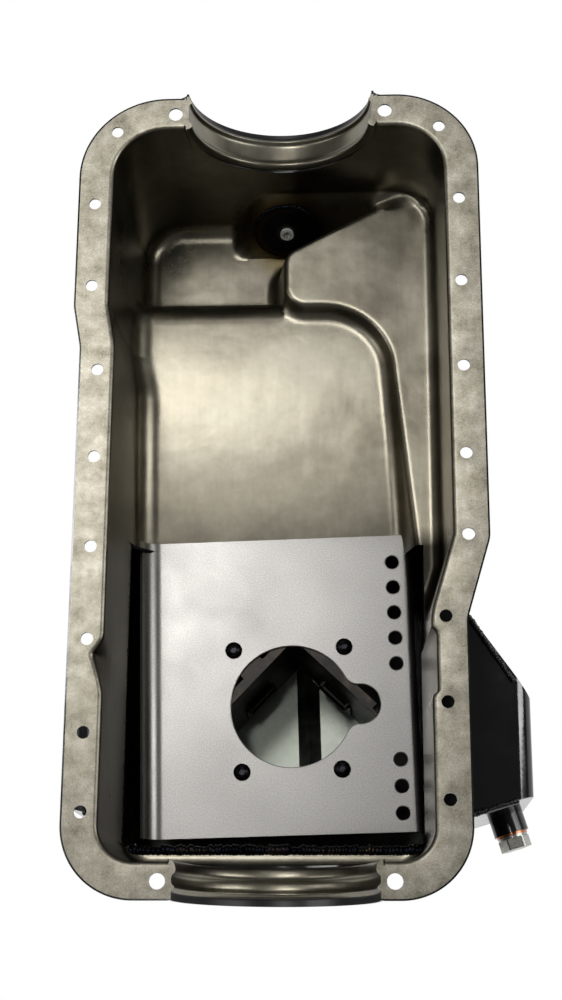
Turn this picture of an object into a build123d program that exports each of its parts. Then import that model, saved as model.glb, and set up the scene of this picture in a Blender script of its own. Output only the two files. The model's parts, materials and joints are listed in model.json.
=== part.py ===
from build123d import *
import math
import os

# Engine oil pan with a pressed steel rail and shell, a welded rear sump with two kick-outs,
# a windage tray over a trap-door baffle box, and two drain plugs.
# Frame: X to the right, Y to the front of the engine, Z up out of the pan, in millimetres.
# The sealing face of the rail is Z = 0, and the origin lies midway between the front saddle bolts.

# Sheet and plate
sheet = 1.5
plate = 2.0
baffle_sheet = 1.6
door_sheet = 1.2

# Rail, seen from above
rail_front_y = 11.8
rail_rear_y = -512.0
rail_left_front_x = -132.5
rail_left_rear_x = -127.5
rail_right_front_x = 130.3
rail_right_rear_x = 115.5
left_jog_start_y = -138.0
left_jog_end_y = -166.0
right_jog_start_y = -295.0
right_jog_end_y = -345.0
front_left_corner_r = 57.0
front_right_corner_r = 54.0
rear_left_corner_r = 44.0
rear_right_corner_r = 43.0
jog_r = 22.0
rail_width = 19.5
rail_bend = 2.5

# Rail holes
rail_hole_r = 3.95
saddle_hole_r = 4.75
front_saddle_hole_x = 69.6
rear_saddle_hole_x = 69.1
rear_saddle_hole_y = -501.0
front_side_hole_left_x = -108.2
front_side_hole_right_x = 105.2
front_side_hole_y = -12.4
rail_hole_pitch = 58.4
first_rail_hole_y = -65.0
left_hole_front_x = -121.4
left_hole_rear_x = -115.6
right_hole_front_x = 117.1
right_hole_rear_x = 102.0
left_last_hole_ys = (-414.0, -461.0)
right_fifth_hole_y = -292.7
right_last_hole_ys = (-344.1, -396.4, -454.1)

# Crankshaft seal saddles, half-round troughs across the front and rear of the rail
saddle_axis_z = 3.0
saddle_floor_r = 61.0
saddle_bead = 2.6
saddle_front_lip_y = 15.0
saddle_cut_reach = 12.0
seal_lip = 4.6
seal_bead_peak = 6.2
seal_bead_end = 8.2
seal_ramp = 2.0
seal_land = 4.4
front_saddle_trough = 13.0
rear_saddle_trough = 5.3
ear_rise = 2.8
ear_half_width = 4.5

# Pressed shell
wall_draft = 2.5
shelf_depth = 88.0
front_sump_depth = 140.0
front_sump_draft = 8.0
front_sump_rear_y = -98.0
front_sump_right_x = 3.0
front_sump_corner_y = -63.2
front_sump_corner_r = 8.0
front_sump_edge_slope = 0.533
front_sump_fillet = 5.0
shelf_fillet = 3.0
arch_fillet = 5.0
boss_slope_start_depth = 80.0
boss_slope_run = 0.479
boss_slope_left_x = -25.0
arch_crest_depth = 98.5
arch_end_depth = 118.5
arch_mid_depth = 100.0
arch_mid_y = -170.0
arch_right_x = 71.0
arch_right_middle_x = 87.0
arch_right_middle_y = -237.0
arch_right_rear_x = 92.0
arch_corner_r = 50.0
arch_overrun = 3.0
arch_front_y = -92.0
arch_rear_run = 30.0
arch_rear_fall = 4.5
arch_draft = 8.0
arch_lip = 10.0
arch_side_x = 12.5
sump_cut_front_y = -275.0
sump_cut_rear_y = -474.0
sump_cut_depth = 80.0
right_cut_front_y = -350.0

# Dent and relief in the rail's inner edge
dent_tip_x = -114.9
dent_tip_y = -366.0
dent_front_y = -357.0
dent_rear_y = -389.0
dent_depth = 24.0
dent_base_run = 12.0
dent_front_flare = 6.0
dent_rear_flare = 14.0
dent_draft = 18.0
relief_front_y = -353.0
relief_rear_y = -391.0
relief_step = 3.2
relief_draft = 4.8

# Welded rear sump
sump_floor_depth = 208.0
sump_left_x = -104.4
sump_right_x = 92.6
window_corner_r = 10.0
window_margin = 14.0

# Kick-outs: height of their top, reach, and where their front and rear plates run
kick_top_depth = 106.0
right_kick_reach_x = 162.0
right_kick_bend_r = 12.0
right_kick_front_y = -278.0
right_kick_front_outer_y = -374.0
right_kick_rear_y = -458.6
right_kick_rear_outer_y = -438.0
left_kick_reach_x = -140.0
left_kick_bend_r = 10.0
left_kick_front_y = -385.0
left_kick_front_outer_y = -385.0
left_kick_rear_y = -456.0
left_kick_rear_outer_y = -446.0
kick_plate_run = 2.4
weld_r = 2.2
weld_sink = 0.5
weld_end_gap = 1.0
sump_weld_r = 3.2
rear_weld_r = 4.5

# Windage tray, with the baffle box below it, both set a little askew by hand
insert_x = -3.5
insert_y = -364.5
insert_skew = 1.7
tray_top_depth = 110.0
tray_left = -91.0
tray_right = 91.0
tray_front = 100.0
tray_rear = -99.0
tray_sheet = 1.6
tray_left_bend_r = 13.0
tray_right_bend_r = 5.5
tray_left_lip = 14.0
tray_right_lip = 9.0
tray_lip_clearance = 2.0
opening_x = 7.6
opening_y = -14.6
opening_r = 40.4
lobe_x = 53.2
lobe_r = 13.2
lobe_blend_r = 9.0
drain_hole_r = 4.5
drain_hole_x = 78.0
drain_hole_pitch = 17.4
front_drain_hole_y = 81.3
front_drain_holes = 5
rear_drain_hole_y = -52.1
rear_drain_holes = 3
tray_screw_front_half = 36.9
tray_screw_rear_half = 32.8
tray_screw_x = 6.6
tray_screw_front_y = 24.2
tray_screw_rear_y = -57.2

# Tray screws and their clinch nuts
screw_r = 3.0
screw_length = 11.0
screw_head_r = 5.6
screw_head_height = 3.3
screw_dome_r = 7.6
screw_socket_flats = 4.0
screw_socket_depth = 2.0
screw_clearance = 0.3
nut_r = 5.0
nut_height = 4.5
thread_clearance = 0.05

# Baffle box: a diamond of four walls, each with a trap door that opens inward
front_left_out = 30.3
front_right_out = 33.9
rear_left_out = 43.1
rear_right_out = 45.8
box_flange = 6.0
tab_half_width = 9.0
tab_reach = 9.0
box_corner_gap = 0.3
floor_clearance = 0.3
door_width = 28.0
door_foot_gap = 8.5
door_pin_height = 40.0
door_wall_gap = 0.35
door_opening_width = 22.0
door_opening_low = 12.0
door_opening_high = 35.0
pin_r = 1.25
pin_running_clearance = 0.05
pin_offset = 3.2
knuckle_r = 2.6
knuckle_length = 20.0
knuckle_end_gap = 0.3
lug_sheet = 1.6
lug_half = 3.0
pin_overhang = 1.0

# Floor rib inside the baffle box
rib_x = 16.2
rib_half_length = 46.0
rib_half_width = 8.0
rib_end_gap = 0.5
rib_height = 6.5
rib_sheet = 1.5
rib_fold = 2.0

# Rear drain bung, washer and plug on the rear plate of the right kick-out
bung_x = 149.0
bung_height = 22.0
bung_r = 12.0
bung_length = 13.0
drain_thread_r = 6.0
drain_washer_r = 10.6
drain_washer = 1.5
drain_hex_flats = 19.0
drain_collar_r = 10.2
drain_head_r = 10.7
drain_hole_clearance = 1.0
drain_collar = 1.8
drain_head = 7.5
drain_shank = 12.0

# Front drain boss on the sloped front wall
boss_depth = 118.0
boss_x = -0.2
boss_r = 22.0
boss_disc = 2.5
boss_bead_r = 1.8
boss_bung_r = 9.0
boss_bung_length = 9.0
front_thread_r = 4.8
front_plug_inner_length = 2.0
front_plug_socket_flats = 5.0
front_plug_head_flats = 16.0
front_plug_socket_depth = 2.5
front_plug_head = 5.0
front_washer_r = 8.6
front_washer = 1.2

# Worked out from the sizes above
sump_floor_z = -sump_floor_depth
tray_under_z = -tray_top_depth - tray_sheet
door_pin_z = sump_floor_z + door_pin_height
bung_depth = sump_floor_depth - bung_height
front_wall_y = rail_front_y - rail_width
rear_wall_y = rail_rear_y + rail_width
insert_place = Location((insert_x, insert_y, 0), (0, 0, insert_skew))
pocket_depth = front_sump_depth + 20.0
solid_reach = 400.0


def block(x0, x1, y0, y1, z0, z1):
    """Rectangular solid between two corners."""
    size = Box(abs(x1 - x0), abs(y1 - y0), abs(z1 - z0))
    return Pos((x0 + x1) / 2, (y0 + y1) / 2, (z0 + z1) / 2) * size


def polygon(points):
    """Flat face inside a closed outline."""
    return make_face(Polyline(*points, close=True))


def prism_x(points, x0, x1):
    """Solid with an outline of (y, z) points, running along X."""
    face = Plane.YZ.offset(x0) * polygon(points)
    return extrude(face, amount=x1 - x0, dir=(1, 0, 0))


def corner(face, x, y):
    """The outline corner nearest to a point."""
    return min(face.vertices(), key=lambda v: math.hypot(v.X - x, v.Y - y))


def rounded(face, corners):
    """Round chosen outline corners, each with its own radius."""
    for x, y, radius in corners:
        face = fillet(corner(face, x, y), radius)
    return face


# Pressed shell and rail: the form of the inside, grown by the sheet for the outside


def rail_outline():
    face = polygon([
        (rail_left_front_x, rail_front_y),
        (rail_right_front_x, rail_front_y),
        (rail_right_front_x, right_jog_start_y),
        (rail_right_rear_x, right_jog_end_y),
        (rail_right_rear_x, rail_rear_y),
        (rail_left_rear_x, rail_rear_y),
        (rail_left_rear_x, left_jog_end_y),
        (rail_left_front_x, left_jog_start_y),
    ])
    return rounded(face, [
        (rail_left_front_x, rail_front_y, front_left_corner_r),
        (rail_right_front_x, rail_front_y, front_right_corner_r),
        (rail_right_front_x, right_jog_start_y, jog_r),
        (rail_right_rear_x, right_jog_end_y, jog_r),
        (rail_right_rear_x, rail_rear_y, rear_right_corner_r),
        (rail_left_rear_x, rail_rear_y, rear_left_corner_r),
        (rail_left_rear_x, left_jog_end_y, jog_r),
        (rail_left_front_x, left_jog_start_y, jog_r),
    ])


def wall_form(grow):
    """Drafted inside of the walls over the whole depth, with the bend at the rail."""
    opening = offset(rail_outline(), amount=grow - rail_width)
    walls = extrude(opening, amount=-pocket_depth, taper=wall_draft)
    mouth = offset(rail_outline(), amount=grow + rail_bend - rail_width)
    return walls + extrude(mouth, amount=-rail_bend, taper=45)


def front_sump_form(grow):
    """Deep pocket at the front, with a slanted right side and a slope for the drain boss."""
    outline = polygon([
        (-solid_reach, solid_reach),
        (solid_reach, solid_reach),
        (solid_reach, front_sump_corner_y + (solid_reach - front_sump_right_x) * front_sump_edge_slope),
        (front_sump_right_x, front_sump_corner_y),
        (front_sump_right_x, front_sump_rear_y),
        (-solid_reach, front_sump_rear_y),
    ])
    outline = rounded(outline, [(front_sump_right_x, front_sump_corner_y, front_sump_corner_r)])
    outline = Pos(0, 0, -shelf_depth) * offset(outline, amount=grow)
    depth = front_sump_depth + grow - shelf_depth
    pocket = extrude(outline, amount=-depth, taper=front_sump_draft)
    slope_y = front_wall_y - boss_slope_start_depth * math.tan(math.radians(wall_draft))
    slope_end = slope_y - (pocket_depth - boss_slope_start_depth) * boss_slope_run
    slope = prism_x(
        [
            (slope_y + grow, -boss_slope_start_depth),
            (slope_end + grow, -pocket_depth),
            (solid_reach, -pocket_depth),
            (solid_reach, -boss_slope_start_depth),
        ],
        boss_slope_left_x + grow,
        solid_reach,
    )
    return pocket - slope


def arch_form(grow):
    """Raised floor over the crossmember, humped from front to rear, with a rounded right edge."""
    rear = sump_cut_front_y - arch_rear_run
    top = -shelf_depth + arch_lip
    hump = make_face(
        ThreePointArc(
            (arch_front_y, -arch_crest_depth - grow),
            (arch_mid_y, -arch_mid_depth - grow),
            (rear, -arch_end_depth - grow - arch_rear_fall),
        )
        + Polyline(
            (rear, -arch_end_depth - grow - arch_rear_fall),
            (rear, top),
            (arch_front_y, top),
            (arch_front_y, -arch_crest_depth - grow),
        )
    )
    floor = extrude(Plane.YZ.offset(-solid_reach) * hump, amount=2 * solid_reach, dir=(1, 0, 0))
    front_y = front_sump_rear_y + arch_overrun
    plan = polygon([
        (-solid_reach, front_y),
        (arch_right_x, front_y),
        (arch_right_middle_x, arch_right_middle_y),
        (arch_right_rear_x, sump_cut_front_y),
        (arch_right_rear_x, -solid_reach),
        (-solid_reach, -solid_reach),
    ])
    plan = fillet(corner(plan, arch_right_x, front_y), arch_corner_r)
    plan = Pos(0, 0, top) * offset(plan, amount=grow)
    return floor & extrude(plan, amount=-pocket_depth, taper=arch_draft)


def at_height(form, z):
    """Edges of a form that lie flat at a height."""
    boxes = [(edge, edge.bounding_box()) for edge in form.edges()]
    return [edge for edge, box in boxes if max(abs(box.min.Z - z), abs(box.max.Z - z)) < 0.01]


def inside_form(grow):
    """Whole hollow of the pressed shell, grown outward by a distance, with rounded feet."""
    walls = wall_form(grow)
    above = block(
        -solid_reach, solid_reach, -2 * solid_reach, solid_reach, -shelf_depth - grow, 1.0
    )
    shelf = walls & above
    shelf = fillet(at_height(shelf, -shelf_depth - grow), shelf_fillet)
    arch = walls & arch_form(grow)
    hump = min(arch.faces(), key=lambda face: face.center().Z)
    sides = [edge for edge in hump.edges() if not -arch_right_x < edge.center().X < arch_side_x]
    feet = [edge for edge in sides if edge.center().Y > sump_cut_front_y - arch_rear_run + 1]
    arch = fillet(feet, arch_fillet + grow)
    front = walls & front_sump_form(grow)
    if grow == 0:
        front = fillet(at_height(front, -front_sump_depth), front_sump_fillet)
    return shelf + arch + front


def dent_form(grow):
    """Hand-made dent in the left wall, beside a rail hole."""
    base_x = rail_left_rear_x + rail_width + dent_base_run
    face = offset(
        polygon([
            (dent_tip_x, dent_tip_y),
            (base_x, dent_front_y + dent_front_flare),
            (base_x, dent_rear_y - dent_rear_flare),
        ]),
        amount=grow,
        kind=Kind.INTERSECTION,
    )
    return extrude(face, amount=-dent_depth, taper=dent_draft)


def relief_form(grow):
    """Shallow relief in the right wall."""
    inner_x = rail_right_rear_x - rail_width
    outer_x = inner_x + relief_step + grow
    face = polygon([
        (inner_x - dent_base_run, relief_front_y + grow),
        (outer_x, relief_front_y + grow),
        (outer_x, relief_rear_y - grow),
        (inner_x - dent_base_run, relief_rear_y - grow),
    ])
    return extrude(face, amount=-sump_cut_depth, taper=relief_draft)


def saddle_trough_form(lip_y, toward, trough):
    """Half-round seal trough: lip, floor and bead turned about the crankshaft's line."""
    steps = [
        (0.0, 0.0),
        (seal_lip, 0.0),
        (seal_bead_peak, -saddle_bead),
        (seal_bead_end, 0.0),
        (seal_bead_end + trough, 0.0),
        (seal_bead_end + trough + seal_ramp, -saddle_bead),
        (seal_bead_end + trough + seal_land, -saddle_bead),
    ]
    upper = [(lip_y + toward * along, saddle_floor_r + rise) for along, rise in steps]
    lower = [(y, r + sheet) for y, r in reversed(upper)]
    section = [(y, saddle_axis_z - r) for y, r in upper + lower]
    face = Plane.YZ * polygon(section)
    ring = revolve(face, Axis((0, 0, saddle_axis_z), (0, 1, 0)), 360)
    return ring & block(-solid_reach, solid_reach, -2 * solid_reach, solid_reach, -solid_reach, 0)


def saddle_cut(y0, y1):
    """Round clearance for the crankshaft's seal cover, from the bead inwards."""
    radius = saddle_floor_r - saddle_bead
    middle = Location((0, (y0 + y1) / 2, saddle_axis_z), (90, 0, 0))
    return middle * Cylinder(radius, abs(y1 - y0))


def ear(x):
    """Small crimped peak of the rail beside the front saddle."""
    face = polygon([
        (x - ear_half_width, rail_front_y - 1),
        (x, rail_front_y + ear_rise),
        (x + ear_half_width, rail_front_y - 1),
    ])
    return extrude(face, amount=-sheet)


def rail_hole_places():
    """Every bolt hole in the rail, as (x, y, radius)."""
    side = [first_rail_hole_y - rail_hole_pitch * i for i in range(6)]
    left = [(left_hole_front_x, y) for y in side[:2]]
    left += [(left_hole_rear_x, y) for y in side[2:] + list(left_last_hole_ys)]
    right = [(right_hole_front_x, y) for y in side[:4] + [right_fifth_hole_y]]
    right += [(right_hole_rear_x, y) for y in right_last_hole_ys]
    front = [(front_side_hole_left_x, front_side_hole_y)]
    front += [(front_side_hole_right_x, front_side_hole_y)]
    saddle = [(side_x * front_saddle_hole_x, 0.0) for side_x in (-1, 1)]
    saddle += [(side_x * rear_saddle_hole_x, rear_saddle_hole_y) for side_x in (-1, 1)]
    small = [(x, y, rail_hole_r) for x, y in left + right + front]
    return small + [(x, y, saddle_hole_r) for x, y in saddle]


def pan_shell():
    rail = extrude(rail_outline(), amount=-sheet)
    rail += ear(-saddle_floor_r) + ear(saddle_floor_r)
    outside = inside_form(sheet) + dent_form(sheet) + relief_form(sheet)
    inside = inside_form(0) + dent_form(0) + relief_form(0)
    shell = rail + (outside - block(-solid_reach, solid_reach, -2 * solid_reach, solid_reach, 0, 9))
    shell -= inside
    shell -= saddle_cut(front_wall_y - saddle_cut_reach, saddle_front_lip_y + saddle_cut_reach)
    shell -= saddle_cut(rail_rear_y - saddle_cut_reach, rear_wall_y + saddle_cut_reach)
    shell += saddle_trough_form(saddle_front_lip_y, -1, front_saddle_trough)
    shell += saddle_trough_form(rail_rear_y + sheet, 1, rear_saddle_trough)
    cut_z = (-sump_cut_depth, -pocket_depth)
    shell -= block(-solid_reach, sump_right_x, sump_cut_front_y, sump_cut_rear_y, *cut_z)
    shell -= block(sump_right_x, solid_reach, right_cut_front_y, sump_cut_rear_y, *cut_z)
    for x, y, radius in rail_hole_places():
        shell -= Pos(x, y, -sheet / 2) * Cylinder(radius, 4 * sheet)
    return shell


# Welded rear sump: plates stand on one floor plate and meet the cut edge of the pressed shell


def kick_plan(wall_x, reach_x, front_y, front_outer_y, rear_y, rear_outer_y, inset):
    """Kick-out seen from above, its front and rear edges drawn in by the plate."""
    return polygon([
        (wall_x, front_y - inset),
        (reach_x, front_outer_y - inset),
        (reach_x, rear_outer_y + inset),
        (wall_x, rear_y + inset),
    ])


def kick_profile(wall_x, reach_x, bend_r, inset):
    """Section across a kick-out: flat top, large bend and outer side, down to the floor."""
    side = math.copysign(1.0, reach_x)
    top_z = -kick_top_depth - inset
    outer_x = reach_x - side * inset
    face = Plane.XZ * polygon([
        (wall_x, top_z),
        (outer_x, top_z),
        (outer_x, sump_floor_z),
        (wall_x, sump_floor_z),
    ])
    bend = min(face.vertices(), key=lambda v: math.hypot(v.X - outer_x, v.Z - top_z))
    face = fillet(bend, bend_r - inset)
    return extrude(face, amount=2 * solid_reach, dir=(0, -1, 0))


right_kick = (
    sump_right_x + plate,
    right_kick_reach_x,
    right_kick_front_y,
    right_kick_front_outer_y,
    right_kick_rear_y,
    right_kick_rear_outer_y,
)
left_kick = (
    sump_left_x - plate,
    left_kick_reach_x,
    left_kick_front_y,
    left_kick_front_outer_y,
    left_kick_rear_y,
    left_kick_rear_outer_y,
)


def kick_parts(kick, bend_r):
    """Bent cover, front plate and rear plate of one kick-out."""
    wall_x, reach_x = kick[:2]
    outer = kick_profile(wall_x, reach_x, bend_r, 0)
    inner = kick_profile(wall_x, reach_x, bend_r, plate)
    tall = 2 * solid_reach
    whole = Pos(0, 0, -solid_reach) * extrude(kick_plan(*kick, 0), amount=tall)
    between = Pos(0, 0, -solid_reach) * extrude(kick_plan(*kick, kick_plate_run), amount=tall)
    cover = (outer - inner) & between
    ends = (whole - between) & outer
    front, rear = ends.solids().sort_by(Axis.Y)[-1], ends.solids().sort_by(Axis.Y)[0]
    return cover, Part(front.wrapped), Part(rear.wrapped)


def kick_window(kick, wall_x):
    """Opening in a sump side wall into its kick-out, with rounded corners."""
    front_y, rear_y = kick[2] - window_margin, kick[4] + window_margin
    low = sump_floor_z + 0.5 * window_margin
    high = -kick_top_depth - window_margin
    middle_y, middle_z = (front_y + rear_y) / 2, (low + high) / 2
    outline = RectangleRounded(front_y - rear_y, high - low, window_corner_r)
    face = Plane.YZ.offset(wall_x - 4 * plate) * Pos(middle_y, middle_z) * outline
    return extrude(face, amount=8 * plate, dir=(1, 0, 0))


def sump_left_wall():
    """Left plate of the sump; its top edge meets the cut edge of the pressed wall."""
    wall = block(
        sump_left_x,
        sump_left_x - plate,
        sump_cut_front_y,
        sump_cut_rear_y,
        sump_floor_z,
        -sump_cut_depth,
    )
    return wall - kick_window(left_kick, sump_left_x)


def sump_right_wall():
    """Right plate of the sump: under the shelf at the front, up to the wall's cut edge behind."""
    ends = (sump_right_x, sump_right_x + plate)
    ledge_z = -shelf_depth - sheet
    wall = block(*ends, sump_cut_front_y, sump_cut_rear_y, sump_floor_z, ledge_z)
    wall += block(*ends, right_cut_front_y, sump_cut_rear_y, ledge_z, -sump_cut_depth)
    return wall - kick_window(right_kick, sump_right_x)


def sump_rear_wall():
    """Rear plate of the sump, standing under the pressed shell's rear ledge."""
    return block(
        sump_left_x - plate,
        sump_right_x + plate,
        sump_cut_rear_y,
        sump_cut_rear_y - plate,
        sump_floor_z,
        -shelf_depth - sheet,
    )


def sump_front_wall(outside):
    """Front plate of the sump, cut to the underside of the pressed shell."""
    wall = block(
        sump_left_x - plate,
        sump_right_x + plate,
        sump_cut_front_y,
        sump_cut_front_y + plate,
        sump_floor_z,
        -sump_cut_depth,
    )
    return wall - outside


def sump_floor():
    """One floor plate under the sump and both kick-outs."""
    face = polygon([
        (sump_left_x - plate, sump_cut_front_y + plate),
        (sump_right_x + plate, sump_cut_front_y + plate),
        (sump_right_x + plate, sump_cut_rear_y - plate),
        (sump_left_x - plate, sump_cut_rear_y - plate),
    ])
    face = face + kick_plan(*right_kick, 0) + kick_plan(*left_kick, 0)
    return Pos(0, 0, sump_floor_z) * extrude(face, amount=-plate)


def bead(start, end, radius):
    """Straight weld bead between two points."""
    path = Line(start, end)
    section = Plane(origin=path @ 0, z_dir=path % 0) * Circle(radius)
    return extrude(section, amount=path.length)


def sump_weld(touching):
    """Weld around the joint of the pressed shell and the sump plates, seen from inside."""
    left_x, right_x = sump_left_x - weld_sink, sump_right_x + weld_sink
    rear_z = -shelf_depth - sheet / 2
    front_y, rear_y = sump_cut_front_y - weld_end_gap, sump_cut_rear_y - weld_sink
    seams = bead((left_x, front_y, -sump_cut_depth), (left_x, rear_y, -sump_cut_depth), sump_weld_r)
    right_start = (right_x, right_cut_front_y - sump_weld_r, -sump_cut_depth)
    seams += bead(right_start, (right_x, rear_y, -sump_cut_depth), sump_weld_r)
    seams += bead(
        (left_x + sump_weld_r + weld_end_gap, rear_y, rear_z),
        (right_x - sump_weld_r - weld_end_gap, rear_y, rear_z),
        rear_weld_r,
    )
    for solid in touching:
        seams -= solid
    return seams


def kick_weld(kick, bend_r, touching):
    """Weld beads along the top edges of a kick-out's front and rear plates."""
    wall_x, reach_x, front_y, front_outer_y, rear_y, rear_outer_y = kick
    z = -kick_top_depth - weld_sink
    side = math.copysign(1.0, reach_x)
    inner_x = wall_x + side * 2 * weld_r
    outer_x = reach_x - side * bend_r
    share_in = (inner_x - wall_x) / (reach_x - wall_x)
    share_out = (outer_x - wall_x) / (reach_x - wall_x)
    seams = bead(
        (inner_x, front_y + share_in * (front_outer_y - front_y), z),
        (outer_x, front_y + share_out * (front_outer_y - front_y), z),
        weld_r,
    )
    seams += bead(
        (inner_x, rear_y + share_in * (rear_outer_y - rear_y), z),
        (outer_x, rear_y + share_out * (rear_outer_y - rear_y), z),
        weld_r,
    )
    for solid in touching:
        seams -= solid
    return seams


# Windage tray, screws and nuts, in the insert's own askew frame


def tray_screw_places():
    front = [(tray_screw_x + s * tray_screw_front_half, tray_screw_front_y) for s in (-1, 1)]
    rear = [(tray_screw_x + s * tray_screw_rear_half, tray_screw_rear_y) for s in (-1, 1)]
    return front + rear


def pickup_opening():
    """Round opening with a side lobe and blended corners."""
    face = Pos(opening_x, opening_y) * Circle(opening_r)
    face += Pos(lobe_x, opening_y) * Circle(lobe_r)
    meeting = [v for v in face.vertices() if opening_x + lobe_r < v.X < lobe_x + lobe_r / 2]
    return fillet(meeting, lobe_blend_r)


def windage_tray():
    """Sheet with a wide rolled left edge, a folded right edge, an opening and drain holes."""
    top = -tray_top_depth
    inner_r = tray_left_bend_r - tray_sheet
    path = FilletPolyline(
        (tray_left, top - tray_left_lip),
        (tray_left, top),
        (tray_right, top),
        (tray_right, top - tray_right_lip),
        radius=[tray_left_bend_r, tray_right_bend_r],
    )
    inner = FilletPolyline(
        (tray_left + tray_sheet, top - tray_left_lip),
        (tray_left + tray_sheet, top - tray_sheet),
        (tray_right - tray_sheet, top - tray_sheet),
        (tray_right - tray_sheet, top - tray_right_lip),
        radius=[inner_r, tray_right_bend_r - tray_sheet],
    )
    ends = Line(path @ 0, inner @ 0) + Line(path @ 1, inner @ 1)
    section = Plane.XZ * make_face(path.edges() + inner.edges() + ends.edges())
    tray = Pos(0, tray_front, 0) * extrude(section, amount=tray_front - tray_rear, dir=(0, -1, 0))
    cut_top = Pos(0, 0, top + tray_sheet)
    tray -= cut_top * extrude(pickup_opening(), amount=-4 * tray_sheet)
    rows = [(front_drain_hole_y, front_drain_holes), (rear_drain_hole_y, rear_drain_holes)]
    for first_y, count in rows:
        for index in range(count):
            hole = Pos(drain_hole_x, first_y - index * drain_hole_pitch, top)
            tray -= hole * Cylinder(drain_hole_r, 6 * tray_sheet)
    for x, y in tray_screw_places():
        tray -= Pos(x, y, top) * Cylinder(screw_r + screw_clearance, 6 * tray_sheet)
    tray = insert_place * tray
    under_sheet = -tray_top_depth - tray_sheet
    lips_start_y = sump_cut_front_y - tray_lip_clearance
    return tray - block(-solid_reach, solid_reach, lips_start_y, 0, under_sheet, sump_floor_z)


def tray_screws():
    """Button-head socket screws."""
    dome = Pos(0, 0, screw_head_height - screw_dome_r) * Sphere(screw_dome_r)
    screws = []
    for x, y in tray_screw_places():
        head = Cylinder(screw_head_r, screw_head_height, align=(Align.CENTER, Align.CENTER, Align.MIN))
        head &= dome
        socket = Pos(0, 0, screw_head_height) * extrude(
            RegularPolygon(screw_socket_flats / 2, 6, major_radius=False),
            amount=-screw_socket_depth,
        )
        shank = Cylinder(
            screw_r, screw_length, align=(Align.CENTER, Align.CENTER, Align.MAX)
        )
        screws.append(insert_place * Pos(x, y, -tray_top_depth) * (head - socket + shank))
    return Compound(children=screws)


def tray_nuts():
    """Clinch nuts under the baffle box tabs."""
    nut_top = tray_under_z - baffle_sheet
    nuts = []
    for x, y in tray_screw_places():
        ring = Circle(nut_r) - Circle(screw_r + thread_clearance)
        nuts.append(insert_place * Pos(x, y, nut_top) * extrude(ring, amount=-nut_height))
    return Compound(children=nuts)


# Baffle box: four walls of a diamond, in each wall's own frame
# There u runs along the wall, v points out of the box, and the inner face is v = 0

# Each wall: its turn, its distance out, its reach either way along u, and its screw's place
box_walls = {
    "front_left": (45.0, front_left_out, rear_left_out, front_right_out, 0),
    "front_right": (315.0, front_right_out, front_left_out, rear_right_out, 1),
    "rear_left": (135.0, rear_left_out, rear_right_out, front_left_out, 2),
    "rear_right": (225.0, rear_right_out, front_right_out, rear_left_out, 3),
}


def wall_place(wall, along=0.0):
    """Place of a wall frame: its v axis points outward from the middle of the opening."""
    angle, out = wall[:2]
    turn = Location((opening_x, opening_y, 0), (0, 0, angle))
    return insert_place * turn * Pos(along, out, 0)


def door_along(wall):
    """Middle of a wall, where its trap door hangs."""
    return (wall[3] - wall[2]) / 2


def wall_coordinates(wall, x, y):
    """A point of the insert frame, along the wall and out of it."""
    dx, dy = x - opening_x, y - opening_y
    turn = math.radians(wall[0])
    along = dx * math.cos(turn) + dy * math.sin(turn)
    out = -dx * math.sin(turn) + dy * math.cos(turn) - wall[1]
    return along, out


def pin_bar(radius, length):
    """Round bar along the hinge line of a trap door."""
    return Pos(0, -pin_offset, door_pin_z) * Rot(0, 90, 0) * Cylinder(radius, length)


def door_lugs():
    """Two ears that hold the hinge pin on the inner face of a wall."""
    ears = []
    middle = knuckle_length / 2 + knuckle_end_gap + lug_sheet / 2
    for side in (-1, 1):
        foot = Pos(side * middle, -pin_offset / 2, door_pin_z) * Box(lug_sheet, pin_offset, 2 * lug_half)
        tip = Pos(side * middle, -pin_offset, door_pin_z) * Rot(0, 90, 0) * Cylinder(lug_half, lug_sheet)
        ears.append(foot + tip)
    return ears[0] + ears[1]


def baffle_wall(wall):
    """Upright sheet with a top flange and screw tab, a door opening and two pin lugs."""
    low_u, high_u = -wall[2] + box_corner_gap, wall[3] - box_corner_gap
    low = sump_floor_z + floor_clearance
    top = tray_under_z
    sheet_wall = block(low_u, high_u, 0, baffle_sheet, low, top)
    under = top - baffle_sheet
    flange = block(low_u + box_flange, high_u - box_flange, 0, box_flange, under, top)
    along, out = wall_coordinates(wall, *tray_screw_places()[wall[4]])
    tab = block(along - tab_half_width, along + tab_half_width, 0, out + tab_reach, under, top)
    sheet_wall += flange + tab
    sheet_wall -= Pos(along, out, top) * Cylinder(screw_r + screw_clearance, 8 * baffle_sheet)
    door = door_along(wall)
    sheet_wall -= block(
        door - door_opening_width / 2,
        door + door_opening_width / 2,
        -baffle_sheet,
        2 * baffle_sheet,
        sump_floor_z + door_opening_low,
        sump_floor_z + door_opening_high,
    )
    sheet_wall += Pos(door, 0, 0) * door_lugs()
    sheet_wall -= Pos(door, 0, 0) * pin_bar(pin_r, 2 * door_width)
    return wall_place(wall) * sheet_wall


def trap_door(wall):
    """Flap rolled round its pin at the top, hanging against the inside of the wall."""
    skin = (-door_wall_gap, -door_wall_gap - door_sheet)
    foot_z = sump_floor_z + door_foot_gap
    top_z = door_pin_z - knuckle_r - 1
    flap = block(-door_width / 2, door_width / 2, *skin, foot_z, top_z)
    neck = block(-knuckle_length / 2, knuckle_length / 2, *skin, top_z, door_pin_z)
    door = flap + neck + pin_bar(knuckle_r, knuckle_length)
    door -= pin_bar(pin_r + pin_running_clearance, 2 * door_width)
    return wall_place(wall, door_along(wall)) * door


def door_pin(wall):
    """Hinge pin, fixed in the two lugs."""
    length = knuckle_length + 2 * (knuckle_end_gap + lug_sheet + pin_overhang)
    return wall_place(wall, door_along(wall)) * pin_bar(pin_r, length)


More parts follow.
